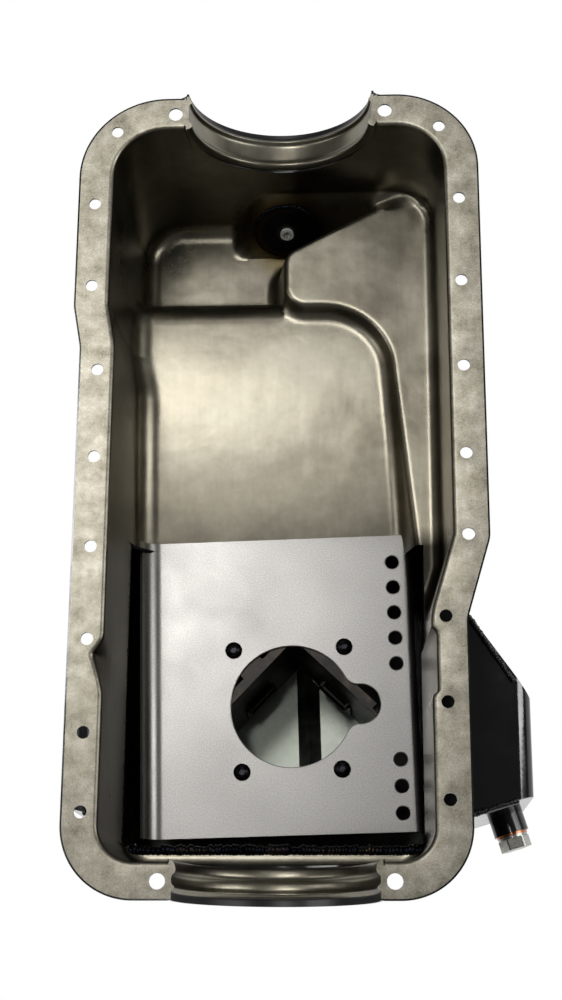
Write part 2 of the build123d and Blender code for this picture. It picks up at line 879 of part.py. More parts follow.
def floor_rib():
    """Folded stiffening rib on the sump floor, run across the baffle box from wall to wall."""
    outer = [(-rib_half_width, 0), (0, rib_height), (rib_half_width, 0)]
    foot = rib_sheet * rib_half_width / rib_height
    inner = [(rib_half_width - 2 * foot, 0), (0, rib_height - rib_fold), (2 * foot - rib_half_width, 0)]
    section = Plane.XZ * polygon(outer + inner)
    rib = Pos(0, rib_half_length, 0) * extrude(section, amount=2 * rib_half_length, dir=(0, -1, 0))
    inside_box = block(
        rib_end_gap - rear_left_out,
        front_right_out - rib_end_gap,
        rib_end_gap - rear_right_out,
        front_left_out - rib_end_gap,
        sump_floor_z,
        sump_floor_z + 2 * rib_height,
    )
    box_turn = Location((opening_x, opening_y, 0), (0, 0, box_walls["front_left"][0]))
    rib = Pos(rib_x, opening_y, sump_floor_z) * rib
    return insert_place * (rib & (box_turn * inside_box))


# Drain fittings


def bung_place():
    """Rear drain: on the outer face of the right kick-out's rear plate, pointing away from it."""
    wall_x, reach_x, _, _, rear_y, rear_outer_y = right_kick
    slope = math.atan2(rear_outer_y - rear_y, reach_x - wall_x)
    y = rear_y + (bung_x - wall_x) * math.tan(slope)
    away = (math.sin(slope), -math.cos(slope), 0)
    return Plane(origin=(bung_x, y, -bung_depth), x_dir=(math.cos(slope), math.sin(slope), 0), z_dir=away)


def hexagon(flats):
    return RegularPolygon(flats / 2, 6, major_radius=False)


def drain_bung():
    ring = Circle(bung_r) - Circle(drain_thread_r + thread_clearance)
    bung = extrude(ring, amount=bung_length)
    return bung_place().location * bung


def drain_washer_ring():
    ring = Circle(drain_washer_r) - Circle(drain_thread_r + thread_clearance)
    return bung_place().location * Pos(0, 0, bung_length) * extrude(ring, amount=drain_washer)


def drain_plug():
    """Hexagon head with a round collar and a plain shank in place of its thread."""
    seat = bung_length + drain_washer
    plug = extrude(Circle(drain_collar_r), amount=drain_collar)
    head = extrude(hexagon(drain_hex_flats), amount=drain_head)
    head &= extrude(Circle(drain_head_r), amount=drain_head)
    plug += Pos(0, 0, drain_collar) * head
    plug += extrude(Circle(drain_thread_r), amount=-drain_shank)
    return bung_place().location * Pos(0, 0, seat) * plug


def boss_plane():
    """Middle of the slope on the front wall; Z points into the pan."""
    slope_y = front_wall_y - boss_slope_start_depth * math.tan(math.radians(wall_draft))
    y = slope_y - (boss_depth - boss_slope_start_depth) * boss_slope_run
    normal = (0, -1, boss_slope_run)
    return Plane(origin=(boss_x, y, -boss_depth), x_dir=(1, 0, 0), z_dir=normal)


def boss_patch():
    """Round patch welded on the slope, with the bung for the front drain plug through it."""
    patch = extrude(Circle(boss_r), amount=boss_disc)
    patch += extrude(Circle(boss_bung_r), amount=-boss_bung_length)
    return boss_plane().location * (patch - Cylinder(front_thread_r + thread_clearance, solid_reach / 4))


def boss_weld(touching):
    """Weld bead round the patch."""
    ring = Torus(boss_r, boss_bead_r)
    seam = boss_plane().location * ring
    for solid in touching:
        seam -= solid
    return seam


def front_washer_ring():
    ring = Circle(front_washer_r) - Circle(front_thread_r + thread_clearance)
    place = boss_plane().location * Pos(0, 0, -boss_bung_length)
    return place * extrude(ring, amount=-front_washer)


def front_plug():
    """Plug screwed in from outside; its end shows inside as a ring with a socket."""
    seat = -boss_bung_length - front_washer
    length = boss_bung_length + front_washer + boss_disc + front_plug_inner_length
    plug = extrude(hexagon(front_plug_head_flats), amount=-front_plug_head)
    plug += extrude(Circle(front_thread_r), amount=length)
    plug -= Pos(0, 0, length) * extrude(hexagon(front_plug_socket_flats), amount=-front_plug_socket_depth)
    return boss_plane().location * Pos(0, 0, seat) * plug


def boss_hole():
    return boss_plane().location * Cylinder(boss_bung_r, solid_reach / 8)


# Assembly


def build():
    outside = inside_form(sheet)
    shell = pan_shell() - boss_hole()
    left_wall = sump_left_wall()
    right_wall = sump_right_wall()
    rear_wall = sump_rear_wall()
    front_wall = sump_front_wall(outside)
    right_cover, right_front, right_rear = kick_parts(right_kick, right_kick_bend_r)
    left_cover, left_front, left_rear = kick_parts(left_kick, left_kick_bend_r)
    right_rear -= bung_place().location * Cylinder(drain_thread_r + drain_hole_clearance, 8 * plate)
    patch = boss_patch()
    nodes = {
        "pan_shell": shell,
        "sump_left_wall": left_wall,
        "sump_right_wall": right_wall,
        "sump_rear_wall": rear_wall,
        "sump_front_wall": front_wall,
        "sump_floor": sump_floor(),
        "right_kickout_cover": right_cover,
        "right_kickout_front_plate": right_front,
        "right_kickout_rear_plate": right_rear,
        "left_kickout_cover": left_cover,
        "left_kickout_front_plate": left_front,
        "left_kickout_rear_plate": left_rear,
        "sump_weld": sump_weld([shell, left_wall, right_wall, rear_wall, front_wall]),
        "right_kickout_weld": kick_weld(right_kick, right_kick_bend_r, [right_cover, right_front, right_rear]),
        "left_kickout_weld": kick_weld(left_kick, left_kick_bend_r, [left_cover, left_front, left_rear]),
        "windage_tray": windage_tray(),
        "tray_screws": tray_screws(),
        "tray_nuts": tray_nuts(),
        "sump_floor_rib": floor_rib(),
        "drain_bung": drain_bung(),
        "drain_copper_washer": drain_washer_ring(),
        "drain_plug": drain_plug(),
        "front_drain_patch": patch,
        "front_drain_weld": boss_weld([shell, patch]),
        "front_drain_washer": front_washer_ring(),
        "front_drain_plug": front_plug(),
    }
    for name, wall in box_walls.items():
        nodes[f"baffle_wall_{name}"] = baffle_wall(wall)
        nodes[f"trap_door_{name}"] = trap_door(wall)
        nodes[f"door_pin_{name}"] = door_pin(wall)
    return nodes


os.makedirs("parts", exist_ok=True)
for node, shape in build().items():
    export_step(shape, f"parts/{node}.step")
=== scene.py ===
import math

import bmesh
import bpy
import numpy as np
from mathutils import Matrix, Vector
from mathutils.geometry import delaunay_2d_cdt
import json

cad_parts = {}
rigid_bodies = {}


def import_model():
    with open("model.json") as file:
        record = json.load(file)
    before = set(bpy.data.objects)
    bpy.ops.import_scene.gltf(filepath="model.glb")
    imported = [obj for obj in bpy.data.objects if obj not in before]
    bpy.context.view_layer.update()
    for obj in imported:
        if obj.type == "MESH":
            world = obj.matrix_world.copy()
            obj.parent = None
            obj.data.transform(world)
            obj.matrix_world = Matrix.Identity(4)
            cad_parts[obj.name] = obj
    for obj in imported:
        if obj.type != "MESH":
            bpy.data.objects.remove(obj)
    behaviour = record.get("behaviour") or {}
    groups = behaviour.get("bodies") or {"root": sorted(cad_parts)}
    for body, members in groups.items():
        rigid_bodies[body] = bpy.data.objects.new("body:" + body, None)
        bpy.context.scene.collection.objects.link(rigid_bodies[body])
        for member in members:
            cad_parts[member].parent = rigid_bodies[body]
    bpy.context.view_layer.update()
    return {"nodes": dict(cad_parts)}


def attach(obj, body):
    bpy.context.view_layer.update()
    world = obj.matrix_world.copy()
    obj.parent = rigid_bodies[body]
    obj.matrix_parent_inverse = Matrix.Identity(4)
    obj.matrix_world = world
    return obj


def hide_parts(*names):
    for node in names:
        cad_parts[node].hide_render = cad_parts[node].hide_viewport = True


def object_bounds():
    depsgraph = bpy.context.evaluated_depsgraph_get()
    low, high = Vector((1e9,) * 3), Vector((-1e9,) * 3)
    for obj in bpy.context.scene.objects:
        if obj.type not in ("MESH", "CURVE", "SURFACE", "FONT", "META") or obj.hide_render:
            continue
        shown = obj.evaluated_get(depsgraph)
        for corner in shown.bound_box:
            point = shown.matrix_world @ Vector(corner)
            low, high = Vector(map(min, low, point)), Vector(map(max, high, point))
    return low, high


for left_over in list(bpy.data.objects):
    bpy.data.objects.remove(left_over)

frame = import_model()
nodes = frame["nodes"]
scene = bpy.context.scene
scene.view_settings.view_transform = "Standard"


# Studio
# A pale floor under the pan, soft lights overhead and in front, a small lamp straight above, one
# narrow light on each side, and a camera almost straight above the sump.

mm = 0.001
floor_half = 14.0
floor_paint = "#f1f1ef"
room_grey = "#6f6f6d"
camera_place = (0.051, -0.580, 1.004)
camera_tilt = (17.15, 2.71, 0.27)
focal_length_px = 1700.0
photo_height_px = 1000.0
sensor_mm = 36.0


def linear(hex_colour):
    """sRGB hex to linear red, green, blue and alpha."""
    channels = [int(hex_colour[i:i + 2], 16) / 255 for i in (1, 3, 5)]
    return tuple(c / 12.92 if c <= 0.04045 else ((c + 0.055) / 1.055) ** 2.4 for c in channels) + (1.0,)


def add(tree, kind, values=None, links=None, stops=(), **settings):
    """Adds a node with its settings, unlinked inputs, links and a ramp's (position, hex) stops.

    A link starts at an output, or at the first output of a node.
    """
    node = tree.nodes.new(kind)
    for name, value in settings.items():
        setattr(node, name, value)
    for name, value in (values or {}).items():
        node.inputs[name].default_value = value
    for name, source in (links or {}).items():
        output = source.outputs[0] if isinstance(source, bpy.types.Node) else source
        tree.links.new(output, node.inputs[name])
    if stops:
        elements = node.color_ramp.elements
        while len(elements) < len(stops):
            elements.new(0.5)
        for element, (position, colour) in zip(elements, stops):
            element.position = position
            element.color = linear(colour)
    return node


def new_material(name):
    """Empty material, its node tree and the output with an object's own coordinates in metres."""
    material = bpy.data.materials.new(name)
    material.use_nodes = True
    tree = material.node_tree
    tree.nodes.clear()
    return material, tree, add(tree, "ShaderNodeTexCoord").outputs["Object"]


def mesh_object(name, vertices, faces, smooth=True):
    """Mesh in row millimetres, turned to metres, at the origin."""
    mesh = bpy.data.meshes.new(name)
    mesh.from_pydata([tuple(c * mm for c in v) for v in vertices], [], [tuple(f) for f in faces])
    mesh.validate()
    piece = bpy.data.objects.new(name, mesh)
    scene.collection.objects.link(piece)
    if smooth:
        mesh.shade_smooth()
    return piece


corner_signs = ((-1, -1), (1, -1), (1, 1), (-1, 1))
floor_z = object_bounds()[0][2] / mm
studio_floor = mesh_object(
    "studio_floor",
    [(x * floor_half / mm, y * floor_half / mm, floor_z) for x, y in corner_signs],
    [(0, 1, 2, 3)],
    smooth=False,
)

# Matt paint: it gives the pan a pale bounce, and shows plain white to the camera, in reflections
# and through glass.
floor_finish, tree, _ = new_material("painted_studio_floor")
path = add(tree, "ShaderNodeLightPath").outputs
direct = add(
    tree,
    "ShaderNodeMath",
    links={0: path["Is Camera Ray"], 1: path["Is Transmission Ray"]},
    operation="MAXIMUM",
)
seen = add(tree, "ShaderNodeMath", links={0: direct, 1: path["Is Glossy Ray"]}, operation="MAXIMUM")
matt = add(tree, "ShaderNodeBsdfDiffuse", {"Color": linear(floor_paint)})
white = add(tree, "ShaderNodeEmission", {"Color": (1, 1, 1, 1), "Strength": 1.0})
mixed = add(tree, "ShaderNodeMixShader", links={"Fac": seen, 1: matt, 2: white})
add(tree, "ShaderNodeOutputMaterial", links={"Surface": mixed})
studio_floor.data.materials.append(floor_finish)

# A plain grey room, whose light fills the shadows.
world = bpy.data.worlds.new("studio_room")
scene.world = world
world.use_nodes = True
tree = world.node_tree
tree.nodes.clear()
room = add(tree, "ShaderNodeBackground", {"Color": linear(room_grey), "Strength": 1.0})
add(tree, "ShaderNodeOutputWorld", links={"Surface": room})


def area_light(name, place, target, size, power):
    """Square-cornered softbox at a place, turned to a target, all in metres and watts."""
    lamp = bpy.data.lights.new(name, "AREA")
    lamp.shape = "RECTANGLE"
    lamp.size, lamp.size_y = size
    lamp.energy = power
    light = bpy.data.objects.new(name, lamp)
    scene.collection.objects.link(light)
    light.location = place
    light.rotation_euler = (Vector(target) - Vector(place)).to_track_quat("-Z", "Y").to_euler()
    return light


area_light("overhead_softbox", (-0.42, 0.34, 2.1), (-0.3, 0.05, 0), (0.55, 0.5), 16)
area_light("ceiling_lamp", (-0.19, -0.31, 2.1), (0, -0.35, 0), (0.14, 0.14), 2)
area_light("front_softbox", (-0.1, 1.5, 2.0), (0, -0.2, 0), (0.9, 0.35), 3)
area_light("left_softbox", (-1.9, -0.4, 1.5), (0, -0.3, 0), (0.25, 1.6), 9)
area_light("right_softbox", (1.9, 0.1, 1.35), (0, -0.3, 0), (0.3, 1.5), 18)

camera_data = bpy.data.cameras.new("camera")
camera_data.sensor_fit = "AUTO"
camera_data.sensor_width = sensor_mm
camera_data.lens = sensor_mm * focal_length_px / photo_height_px
camera = bpy.data.objects.new("camera", camera_data)
scene.collection.objects.link(camera)
turn_x, turn_y, turn_z = (math.radians(a) for a in camera_tilt)
camera.location = camera_place
camera.matrix_world = (
    Matrix.Translation(camera_place)
    @ Matrix.Rotation(turn_z, 4, "Z")
    @ Matrix.Rotation(turn_y, 4, "Y")
    @ Matrix.Rotation(turn_x, 4, "X")
)
scene.camera = camera


# Pressed shell
# Deep-drawn mild steel sheet: a flat rail, a small bend, drafted walls and a floor in three levels.
# The inside is bare, rolled steel with an oily tan; the outside is gloss black paint.

sheet_mm = 1.5
rail_width = 19.5
# x, y and radius of each corner of the rail, and the points drawn round it
outline_corners = [
    (130.3, 11.8, 54.0, 34),
    (-132.5, 11.8, 57.0, 34),
    (-132.5, -138.0, 22.0, 8),
    (-127.5, -166.0, 22.0, 8),
    (-127.5, -512.0, 44.0, 30),
    (115.5, -512.0, 43.0, 30),
    (115.5, -345.0, 22.0, 8),
    (130.3, -295.0, 22.0, 8),
]
# points drawn on the straight that follows each corner
straight_steps = [64, 36, 10, 130, 66, 54, 18, 100]
smallest_corner_r = 9.0
# distances that a table of a pressed step covers
table_start, table_end, table_pitch, table_count = -1.0, 90.0, 0.1, 911


def outline_ring(inward):
    """Rail outline offset inward in millimetres, counterclockwise, with a fixed count of points."""
    count = len(outline_corners)
    xy = np.array([c[:2] for c in outline_corners])
    ahead = np.roll(xy, -1, axis=0) - xy
    ahead /= np.linalg.norm(ahead, axis=1)[:, None]
    inner = np.stack([-ahead[:, 1], ahead[:, 0]], axis=1)
    arcs = []
    for i in range(count):
        d0, d1, n0, n1 = ahead[i - 1], ahead[i], inner[i - 1], inner[i]
        turning = math.atan2(d0[0] * d1[1] - d0[1] * d1[0], d0 @ d1)
        corner = xy[i] + inward * (n0 + n1) / (1 + n0 @ n1)
        radius, steps = outline_corners[i][2:]
        radius = max(radius - inward, smallest_corner_r) if turning > 0 else radius + inward
        cut = radius * math.tan(abs(turning) / 2)
        side = math.copysign(1.0, turning)
        middle = corner - d0 * cut + side * radius * n0
        angles = np.linspace(0, turning, steps)
        spoke = corner - d0 * cut - middle
        arcs.append(np.stack([
            middle[0] + spoke[0] * np.cos(angles) - spoke[1] * np.sin(angles),
            middle[1] + spoke[0] * np.sin(angles) + spoke[1] * np.cos(angles),
        ], axis=1))
    ring = []
    for i in range(count):
        ring.append(arcs[i])
        start, end = arcs[i][-1], arcs[(i + 1) % count][0]
        share = np.linspace(0, 1, straight_steps[i] + 2)[1:-1, None]
        ring.append(start + (end - start) * share)
    return np.concatenate(ring)


def smooth_step(x, low, high):
    """Rises from 0 at low to 1 at high, with no kink."""
    t = np.clip((x - low) / (high - low), 0, 1)
    return t * t * (3 - 2 * t)


def rounded_step(drop, draft, rim_r, foot_r, count=120):
    """Profile of a pressed step: (distance, depth) along a rounded rim, a drafted wall and a foot."""
    lean = math.radians(90 - draft)
    shrink = min(1.0, drop / ((rim_r + foot_r) * (1 - math.cos(lean)) + 1e-6))
    rim_r, foot_r = rim_r * shrink, foot_r * shrink
    a = np.linspace(0, lean, count)
    rim = np.stack([rim_r * np.sin(a), rim_r * (1 - np.cos(a))], axis=1)
    wall = max(0.0, drop - (rim_r + foot_r) * (1 - math.cos(lean)))
    run = wall / math.tan(lean)
    b = np.linspace(lean, 0, count)
    foot_start = rim[-1] + (run, wall)
    foot = foot_start + np.stack([
        foot_r * (math.sin(lean) - np.sin(b)),
        foot_r * (np.cos(b) - math.cos(lean)),
    ], axis=1)
    straight = rim[-1] + np.linspace(0, 1, count)[1:-1, None] * np.array([run, wall])
    return np.concatenate([rim, straight, foot])


def step_table(drops, draft, rim_r, foot_r):
    """Depth over a grid of distances for each drop."""
    distances = np.linspace(table_start, table_end, table_count)
    rows = []
    for drop in drops:
        profile = rounded_step(drop, draft, rim_r, foot_r)
        rows.append(np.interp(distances, profile[:, 0], profile[:, 1]))
    return np.array(rows)


def look_up(table, drops, distance, drop):
    """Bilinear look-up of a step table."""
    i = np.clip((drop - drops[0]) / (drops[1] - drops[0]), 0, len(drops) - 1.001)
    j = np.clip((distance - table_start) / table_pitch, 0, table.shape[1] - 1.001)
    i0, j0 = i.astype(int), j.astype(int)
    fi, fj = i - i0, j - j0
    near = table[i0, j0] * (1 - fj) + table[i0, j0 + 1] * fj
    far = table[i0 + 1, j0] * (1 - fj) + table[i0 + 1, j0 + 1] * fj
    return near * (1 - fi) + far * fi


def distance_inside(points, polygon):
    """Signed distance to a closed polygon, positive inside."""
    px, py = points[:, 0], points[:, 1]
    best = np.full(len(points), 1e9)
    inside = np.zeros(len(points), bool)
    for (ax, ay), (bx, by) in zip(polygon, np.roll(polygon, -1, axis=0)):
        ex, ey = bx - ax, by - ay
        t = np.clip(((px - ax) * ex + (py - ay) * ey) / (ex * ex + ey * ey + 1e-12), 0, 1)
        best = np.minimum(best, np.hypot(px - ax - t * ex, py - ay - t * ey))
        crosses = (ay > py) != (by > py)
        at = ax + (py - ay) * ex / np.where(abs(ey) < 1e-12, 1e-12, ey)
        inside ^= crosses & (px < at)
    return np.where(inside, best, -best)


def rounded_polygon(corners, steps=14):
    """Closed outline with (x, y, radius) corners."""
    xy = np.array([c[:2] for c in corners], float)
    out = []
    for i, (x, y, radius) in enumerate(corners):
        before, after = xy[i - 1] - xy[i], xy[(i + 1) % len(xy)] - xy[i]
        before, after = before / np.linalg.norm(before), after / np.linalg.norm(after)
        if radius == 0:
            out.append(xy[i])
            continue
        half = math.acos(np.clip(before @ after, -1, 1)) / 2
        cut = radius / math.tan(half)
        p0, p1 = xy[i] + before * cut, xy[i] + after * cut
        middle = xy[i] + (before + after) / np.linalg.norm(before + after) * radius / math.sin(half)
        a0 = math.atan2(*(p0 - middle)[::-1])
        a1 = math.atan2(*(p1 - middle)[::-1])
        sweep = (a1 - a0 + math.pi) % (2 * math.pi) - math.pi
        for a in np.linspace(a0, a0 + sweep, steps):
            out.append(middle + radius * np.array([math.cos(a), math.sin(a)]))
    return np.array(out)


# the floor's levels, from the shelf beside the arch down to the front sump
shelf_depth = 88.0
front_sump_depth = 140.0
far = 400.0
sump_step_x, sump_rear_y = 3.0, -150.0
front_sump_edge = rounded_polygon([
    (-far, far, 0),
    (far, far, 0),
    (far, 148.4, 0),
    (sump_step_x, -63.2, 8.0),
    (sump_step_x, sump_rear_y, 0),
    (-far, sump_rear_y, 0),
])

# the humped arch, from its crest behind the front sump to the ledge at the rear of the pan
crest_depth = 98.5
crest_y = -98.0
crest_lead = 12.0
hump_start_y, hump_length = -92.0, 78.0
hump_fall, hump_bow = 0.0192, 0.00071
rear_ledge_y = -470.0
arch_front_y = -40.0
arch_edge = rounded_polygon([
    (-far, arch_front_y, 0),
    (-far, -2 * far, 0),
    (92.0, -2 * far, 0),
    (91.0, -275.0, 0),
    (87.0, -237.0, 90.0),
    (72.0, crest_y, 52.0),
    (sump_step_x, crest_y, 12.0),
    (sump_step_x, arch_front_y, 0),
])

# the slope under the front drain: where it starts, and its run for each millimetre of depth
slope_top_y, slope_top_depth, slope_run = -11.2, 80.0, 0.479
slope_foot_y = -40.0
slope_side_x = (-42.0, -18.0)
slope_blend = 6.0

# each step's draft in degrees, and the radii of its rim and foot
drops = np.arange(4.0, 62.0, 1.0)
sump_side_table = step_table(drops, 10.0, 4.0, 9.0)
arch_side_table = step_table(drops, 16.0, 4.5, 10.0)
crest_table = step_table(drops, 10.0, 22.0, 9.0)


def soft_min(a, b, k):
    """The lesser of two depths, rounded over where they cross."""
    h = np.clip(0.5 + 0.5 * (b - a) / k, 0, 1)
    return b * (1 - h) + a * h - k * h * (1 - h)


def pan_depth(points):
    """Depth of the pressed floor below the rail, without the outer walls, at (x, y) places."""
    x, y = points[:, 0], points[:, 1]
    count = len(x)
    t = hump_start_y - np.minimum(y, hump_start_y)
    hump = crest_depth + hump_fall * t + hump_bow * t * (t - hump_length)
    arch = look_up(arch_side_table, drops, distance_inside(points, arch_edge), hump - shelf_depth)
    arch = np.where(y < rear_ledge_y, 0.0, arch)
    sump_drop = np.full(count, front_sump_depth - shelf_depth)
    side = look_up(sump_side_table, drops, distance_inside(points, front_sump_edge), sump_drop)
    crest_drop = np.full(count, front_sump_depth - crest_depth)
    over_crest = hump - shelf_depth + look_up(crest_table, drops, y - crest_y + crest_lead, crest_drop)
    sump = np.minimum(side, over_crest)
    slope = (slope_top_y - y) / slope_run - (shelf_depth - slope_top_depth)
    on_slope = smooth_step(x, *slope_side_x)
    under_slope = np.where(y > slope_foot_y, soft_min(sump, slope, slope_blend), sump)
    sump = sump * (1 - on_slope) + np.where(sump > 0, under_slope, 0) * on_slope
    return shelf_depth + np.maximum(arch, sump)


wall_draft = 2.5
bend_r = 3.0
dent_mm, dent_depth, dent_ys = 7.2, 24.0, [355, 366, 391]
relief_mm, relief_depth, relief_starts, relief_ends = 3.2, 78.0, (350, 354), (389, 393)


def dent_push(x, y, depth):
    """Outward push of the wall at the hand-made dent on the left and the relief on the right."""
    dent_y = np.interp(-y, dent_ys, [0, 1, 0])
    dent = dent_mm * dent_y ** 1.3 * np.clip(1 - depth / dent_depth, 0, 1) * (x < 0)
    relief_y = smooth_step(-y, *relief_starts) * (1 - smooth_step(-y, *relief_ends))
    relief = relief_mm * relief_y * np.clip(1 - depth / relief_depth, 0, 1) * (x > 0)
    return dent, relief


# columns of the wall, from the rail to the floor: those beside the sump are cut at one depth
foot_inward = 6.5
cut_front_y, right_cut_y, cut_rear_y = -275.0, -350.0, -474.0
cut_depth = 80.0
plate_x = 92.6
shelf_end_y = -352.0
saddle_r = 62.5
saddle_axis = 3.0
saddle_front_y, saddle_rear_y = -20.0, -480.0
inner_edge = outline_ring(rail_width)
columns = len(inner_edge)
foot_ring = outline_ring(rail_width + foot_inward)
ahead_of_ledge = inner_edge[:, 1] > cut_rear_y
left_cut = (inner_edge[:, 0] < 0) & (inner_edge[:, 1] < cut_front_y) & ahead_of_ledge
right_cut = (inner_edge[:, 0] > 0) & (inner_edge[:, 1] < right_cut_y) & ahead_of_ledge
cut_column = left_cut | right_cut

# the foot's radius grows where the floor is deep, and is sharp where the wall meets the slope
sharp_foot_r, sharp_from_y = 1.0, -30
column_drop = pan_depth(foot_ring)
foot_r_at = np.interp(column_drop, [88, 100, 140], [7.5, 15.0, 12.0])
by_slope = smooth_step(foot_ring[:, 0], -34, -24) * (1 - smooth_step(foot_ring[:, 0], 84, 100))
sharpened = foot_r_at * (1 - by_slope) + sharp_foot_r * by_slope
foot_r_at = np.where(foot_ring[:, 1] > sharp_from_y, sharpened, foot_r_at)
wall_rows, foot_rows = 20, 12
bend_length = 4.8
bend_stations = np.linspace(0, bend_length, 7)
profile_steps = 40
profiles = []
for k in range(columns):
    profile = rounded_step(column_drop[k], wall_draft, bend_r, foot_r_at[k], profile_steps)
    length = np.concatenate([[0], np.cumsum(np.hypot(*np.diff(profile, axis=0).T))])
    foot_at = length[-profile_steps - 1]
    begin = 0.0
    if abs(inner_edge[k, 0]) < saddle_r and not (saddle_rear_y < inner_edge[k, 1] < saddle_front_y):
        top = math.sqrt(saddle_r ** 2 - inner_edge[k, 0] ** 2) - saddle_axis
        begin = float(np.interp(top, profile[:, 1], length)) if top > 0 else 0.0
    if cut_column[k]:
        end = float(np.interp(cut_depth, profile[:, 1], length))
        below_bend = np.linspace(bend_length, end, wall_rows + foot_rows + 1)[1:]
        stations = np.concatenate([bend_stations, below_bend])
    elif begin > 0:
        stations = np.concatenate([
            np.linspace(begin, foot_at, len(bend_stations) + wall_rows),
            np.linspace(foot_at, length[-1], foot_rows + 1)[1:],
        ])
    else:
        stations = np.concatenate([
            bend_stations,
            np.linspace(bend_length, foot_at, wall_rows + 1)[1:],
            np.linspace(foot_at, length[-1], foot_rows + 1)[1:],
        ])
    profiles.append(np.stack([
        np.interp(stations, length, profile[:, 0]),
        np.interp(stations, length, profile[:, 1]),
    ], axis=1))
profiles = np.array(profiles)
rows = profiles.shape[1]

# rings of the wall, from the rail's bend to the foot of the wall, 1 mm apart
ring_count = 26
stack = np.stack([outline_ring(rail_width + inward) for inward in range(ring_count)], axis=1)
wall = np.zeros((columns, rows, 3))
for k in range(columns):
    s, depth = profiles[k, :, 0], profiles[k, :, 1]
    low = np.clip(s.astype(int), 0, ring_count - 2)
    share = (s - low)[:, None]
    xy = stack[k, low] * (1 - share) + stack[k, low + 1] * share
    dent, relief = dent_push(xy[:, 0], xy[:, 1], depth)
    wall[k, :, 0] = xy[:, 0] - dent + relief
    wall[k, :, 1] = xy[:, 1]
    wall[k, :, 2] = -depth

# the foot of each uncut column ends on the floor, or at the right side plate
beside_plate = (inner_edge[:, 0] > 0) & (inner_edge[:, 1] < cut_front_y) & ~right_cut
beside_plate &= inner_edge[:, 1] > shelf_end_y
wall[beside_plate, :, 0] = np.maximum(wall[beside_plate, :, 0], plate_x)
last_drop = pan_depth(wall[:, -1, :2])
foot_share = np.clip((np.arange(rows) - (rows - 1 - foot_rows)) / foot_rows, 0, 1)
lift = np.where(cut_column, 0.0, -last_drop - wall[:, -1, 2])
wall[:, :, 2] += lift[:, None] * foot_share[None, :] ** 1.5

vertices = [tuple(v) for v in wall.reshape(-1, 3)]
faces = []
for k in range(columns):
    n = (k + 1) % columns
    for r in range(rows - 1):
        faces.append((n * rows + r, n * rows + r + 1, k * rows + r + 1, k * rows + r))


def fill(vertices, faces, loops, keep_inside, depth_of, extra=(), lines=()):
    """Adds a triangulated area: its loops and lines divide it, and some of its triangles are kept."""
    points, edges = [], []
    for loop in loops:
        first = len(points)
        points += [Vector(p[:2]) for p in loop]
        edges += [(first + i, first + (i + 1) % len(loop)) for i in range(len(loop))]
    for start, end in lines:
        edges.append((len(points), len(points) + 1))
        points += [Vector(start), Vector(end)]
    points += [Vector(p[:2]) for p in extra]
    out_points, _, out_faces, *_ = delaunay_2d_cdt(points, edges, [], 0, 1e-4)
    flat = np.array([tuple(p) for p in out_points])
    middles = np.array([flat[list(f)].mean(axis=0) for f in out_faces])
    kept = [f for f, ok in zip(out_faces, keep_inside(middles)) if ok]
    depth = depth_of(flat)
    first = len(vertices)
    vertices.extend((x, y, -d) for (x, y), d in zip(flat, depth))
    for f in kept:
        a, b, c = (flat[i] for i in f[:3])
        turned = (b[0] - a[0]) * (c[1] - a[1]) - (b[1] - a[1]) * (c[0] - a[0]) > 0
        faces.append(tuple(first + i for i in (f if turned else tuple(reversed(f)))))


# floor between the feet of the walls, on a fine grid where it steps down and a coarse one elsewhere
foot = wall[:, -1, :2]
whole = ~cut_column
pitch, coarse_pitch, near_coarse = 1.75, 6.0, 0.13
sump_band, arch_band, crest_band, slope_band_y = 19, 22, 30, -90
floor_half_width, floor_front_y, clear_of_foot = 112, -8, 0.7
gx, gy = np.meshgrid(
    np.arange(-floor_half_width, floor_half_width, pitch),
    np.arange(shelf_end_y, floor_front_y, pitch),
)
gx = gx + pitch / 2 * (np.arange(gx.shape[0]) % 2)[:, None]
grid = np.stack([gx.ravel(), gy.ravel()], axis=1)
in_coarse = grid / coarse_pitch
coarse = np.all(np.abs(in_coarse - np.round(in_coarse)) < near_coarse, axis=1)
stepping = np.abs(distance_inside(grid, front_sump_edge)) < sump_band
stepping |= np.abs(distance_inside(grid, arch_edge)) < arch_band
stepping |= (grid[:, 1] > slope_band_y) | (np.abs(grid[:, 1] - crest_y) < crest_band)
grid = grid[stepping | coarse]
front_loop = []
right_cut_start = max((k for k in range(columns) if right_cut[k]), default=0)
k = (right_cut_start + 1) % columns
while whole[k] and len(front_loop) < columns:
    if front_loop or foot[k, 0] > plate_x + 0.1:
        front_loop.append(foot[k])
    k = (k + 1) % columns
cut_line = [(x, cut_front_y) for x in np.arange(front_loop[-1][0] + pitch, plate_x, pitch)]
cut_line += [(plate_x, y) for y in np.arange(cut_front_y, front_loop[0][1], -3.0)]
front_loop = np.array(front_loop + cut_line)
inside_grid = grid[distance_inside(grid, front_loop) > clear_of_foot]
fill(vertices, faces, [front_loop], lambda m: distance_inside(m, front_loop) > 0, pan_depth, inside_grid)

left_cut_end = max(k for k in range(columns) if left_cut[k])
rear_loop = []
k = left_cut_end + 1
while whole[k]:
    rear_loop.append(foot[k])
    k += 1
rear_loop = np.array(rear_loop + [(86.0, cut_rear_y), (-96.0, cut_rear_y)])
fill(vertices, faces, [rear_loop], lambda m: distance_inside(m, rear_loop) > 0, pan_depth)

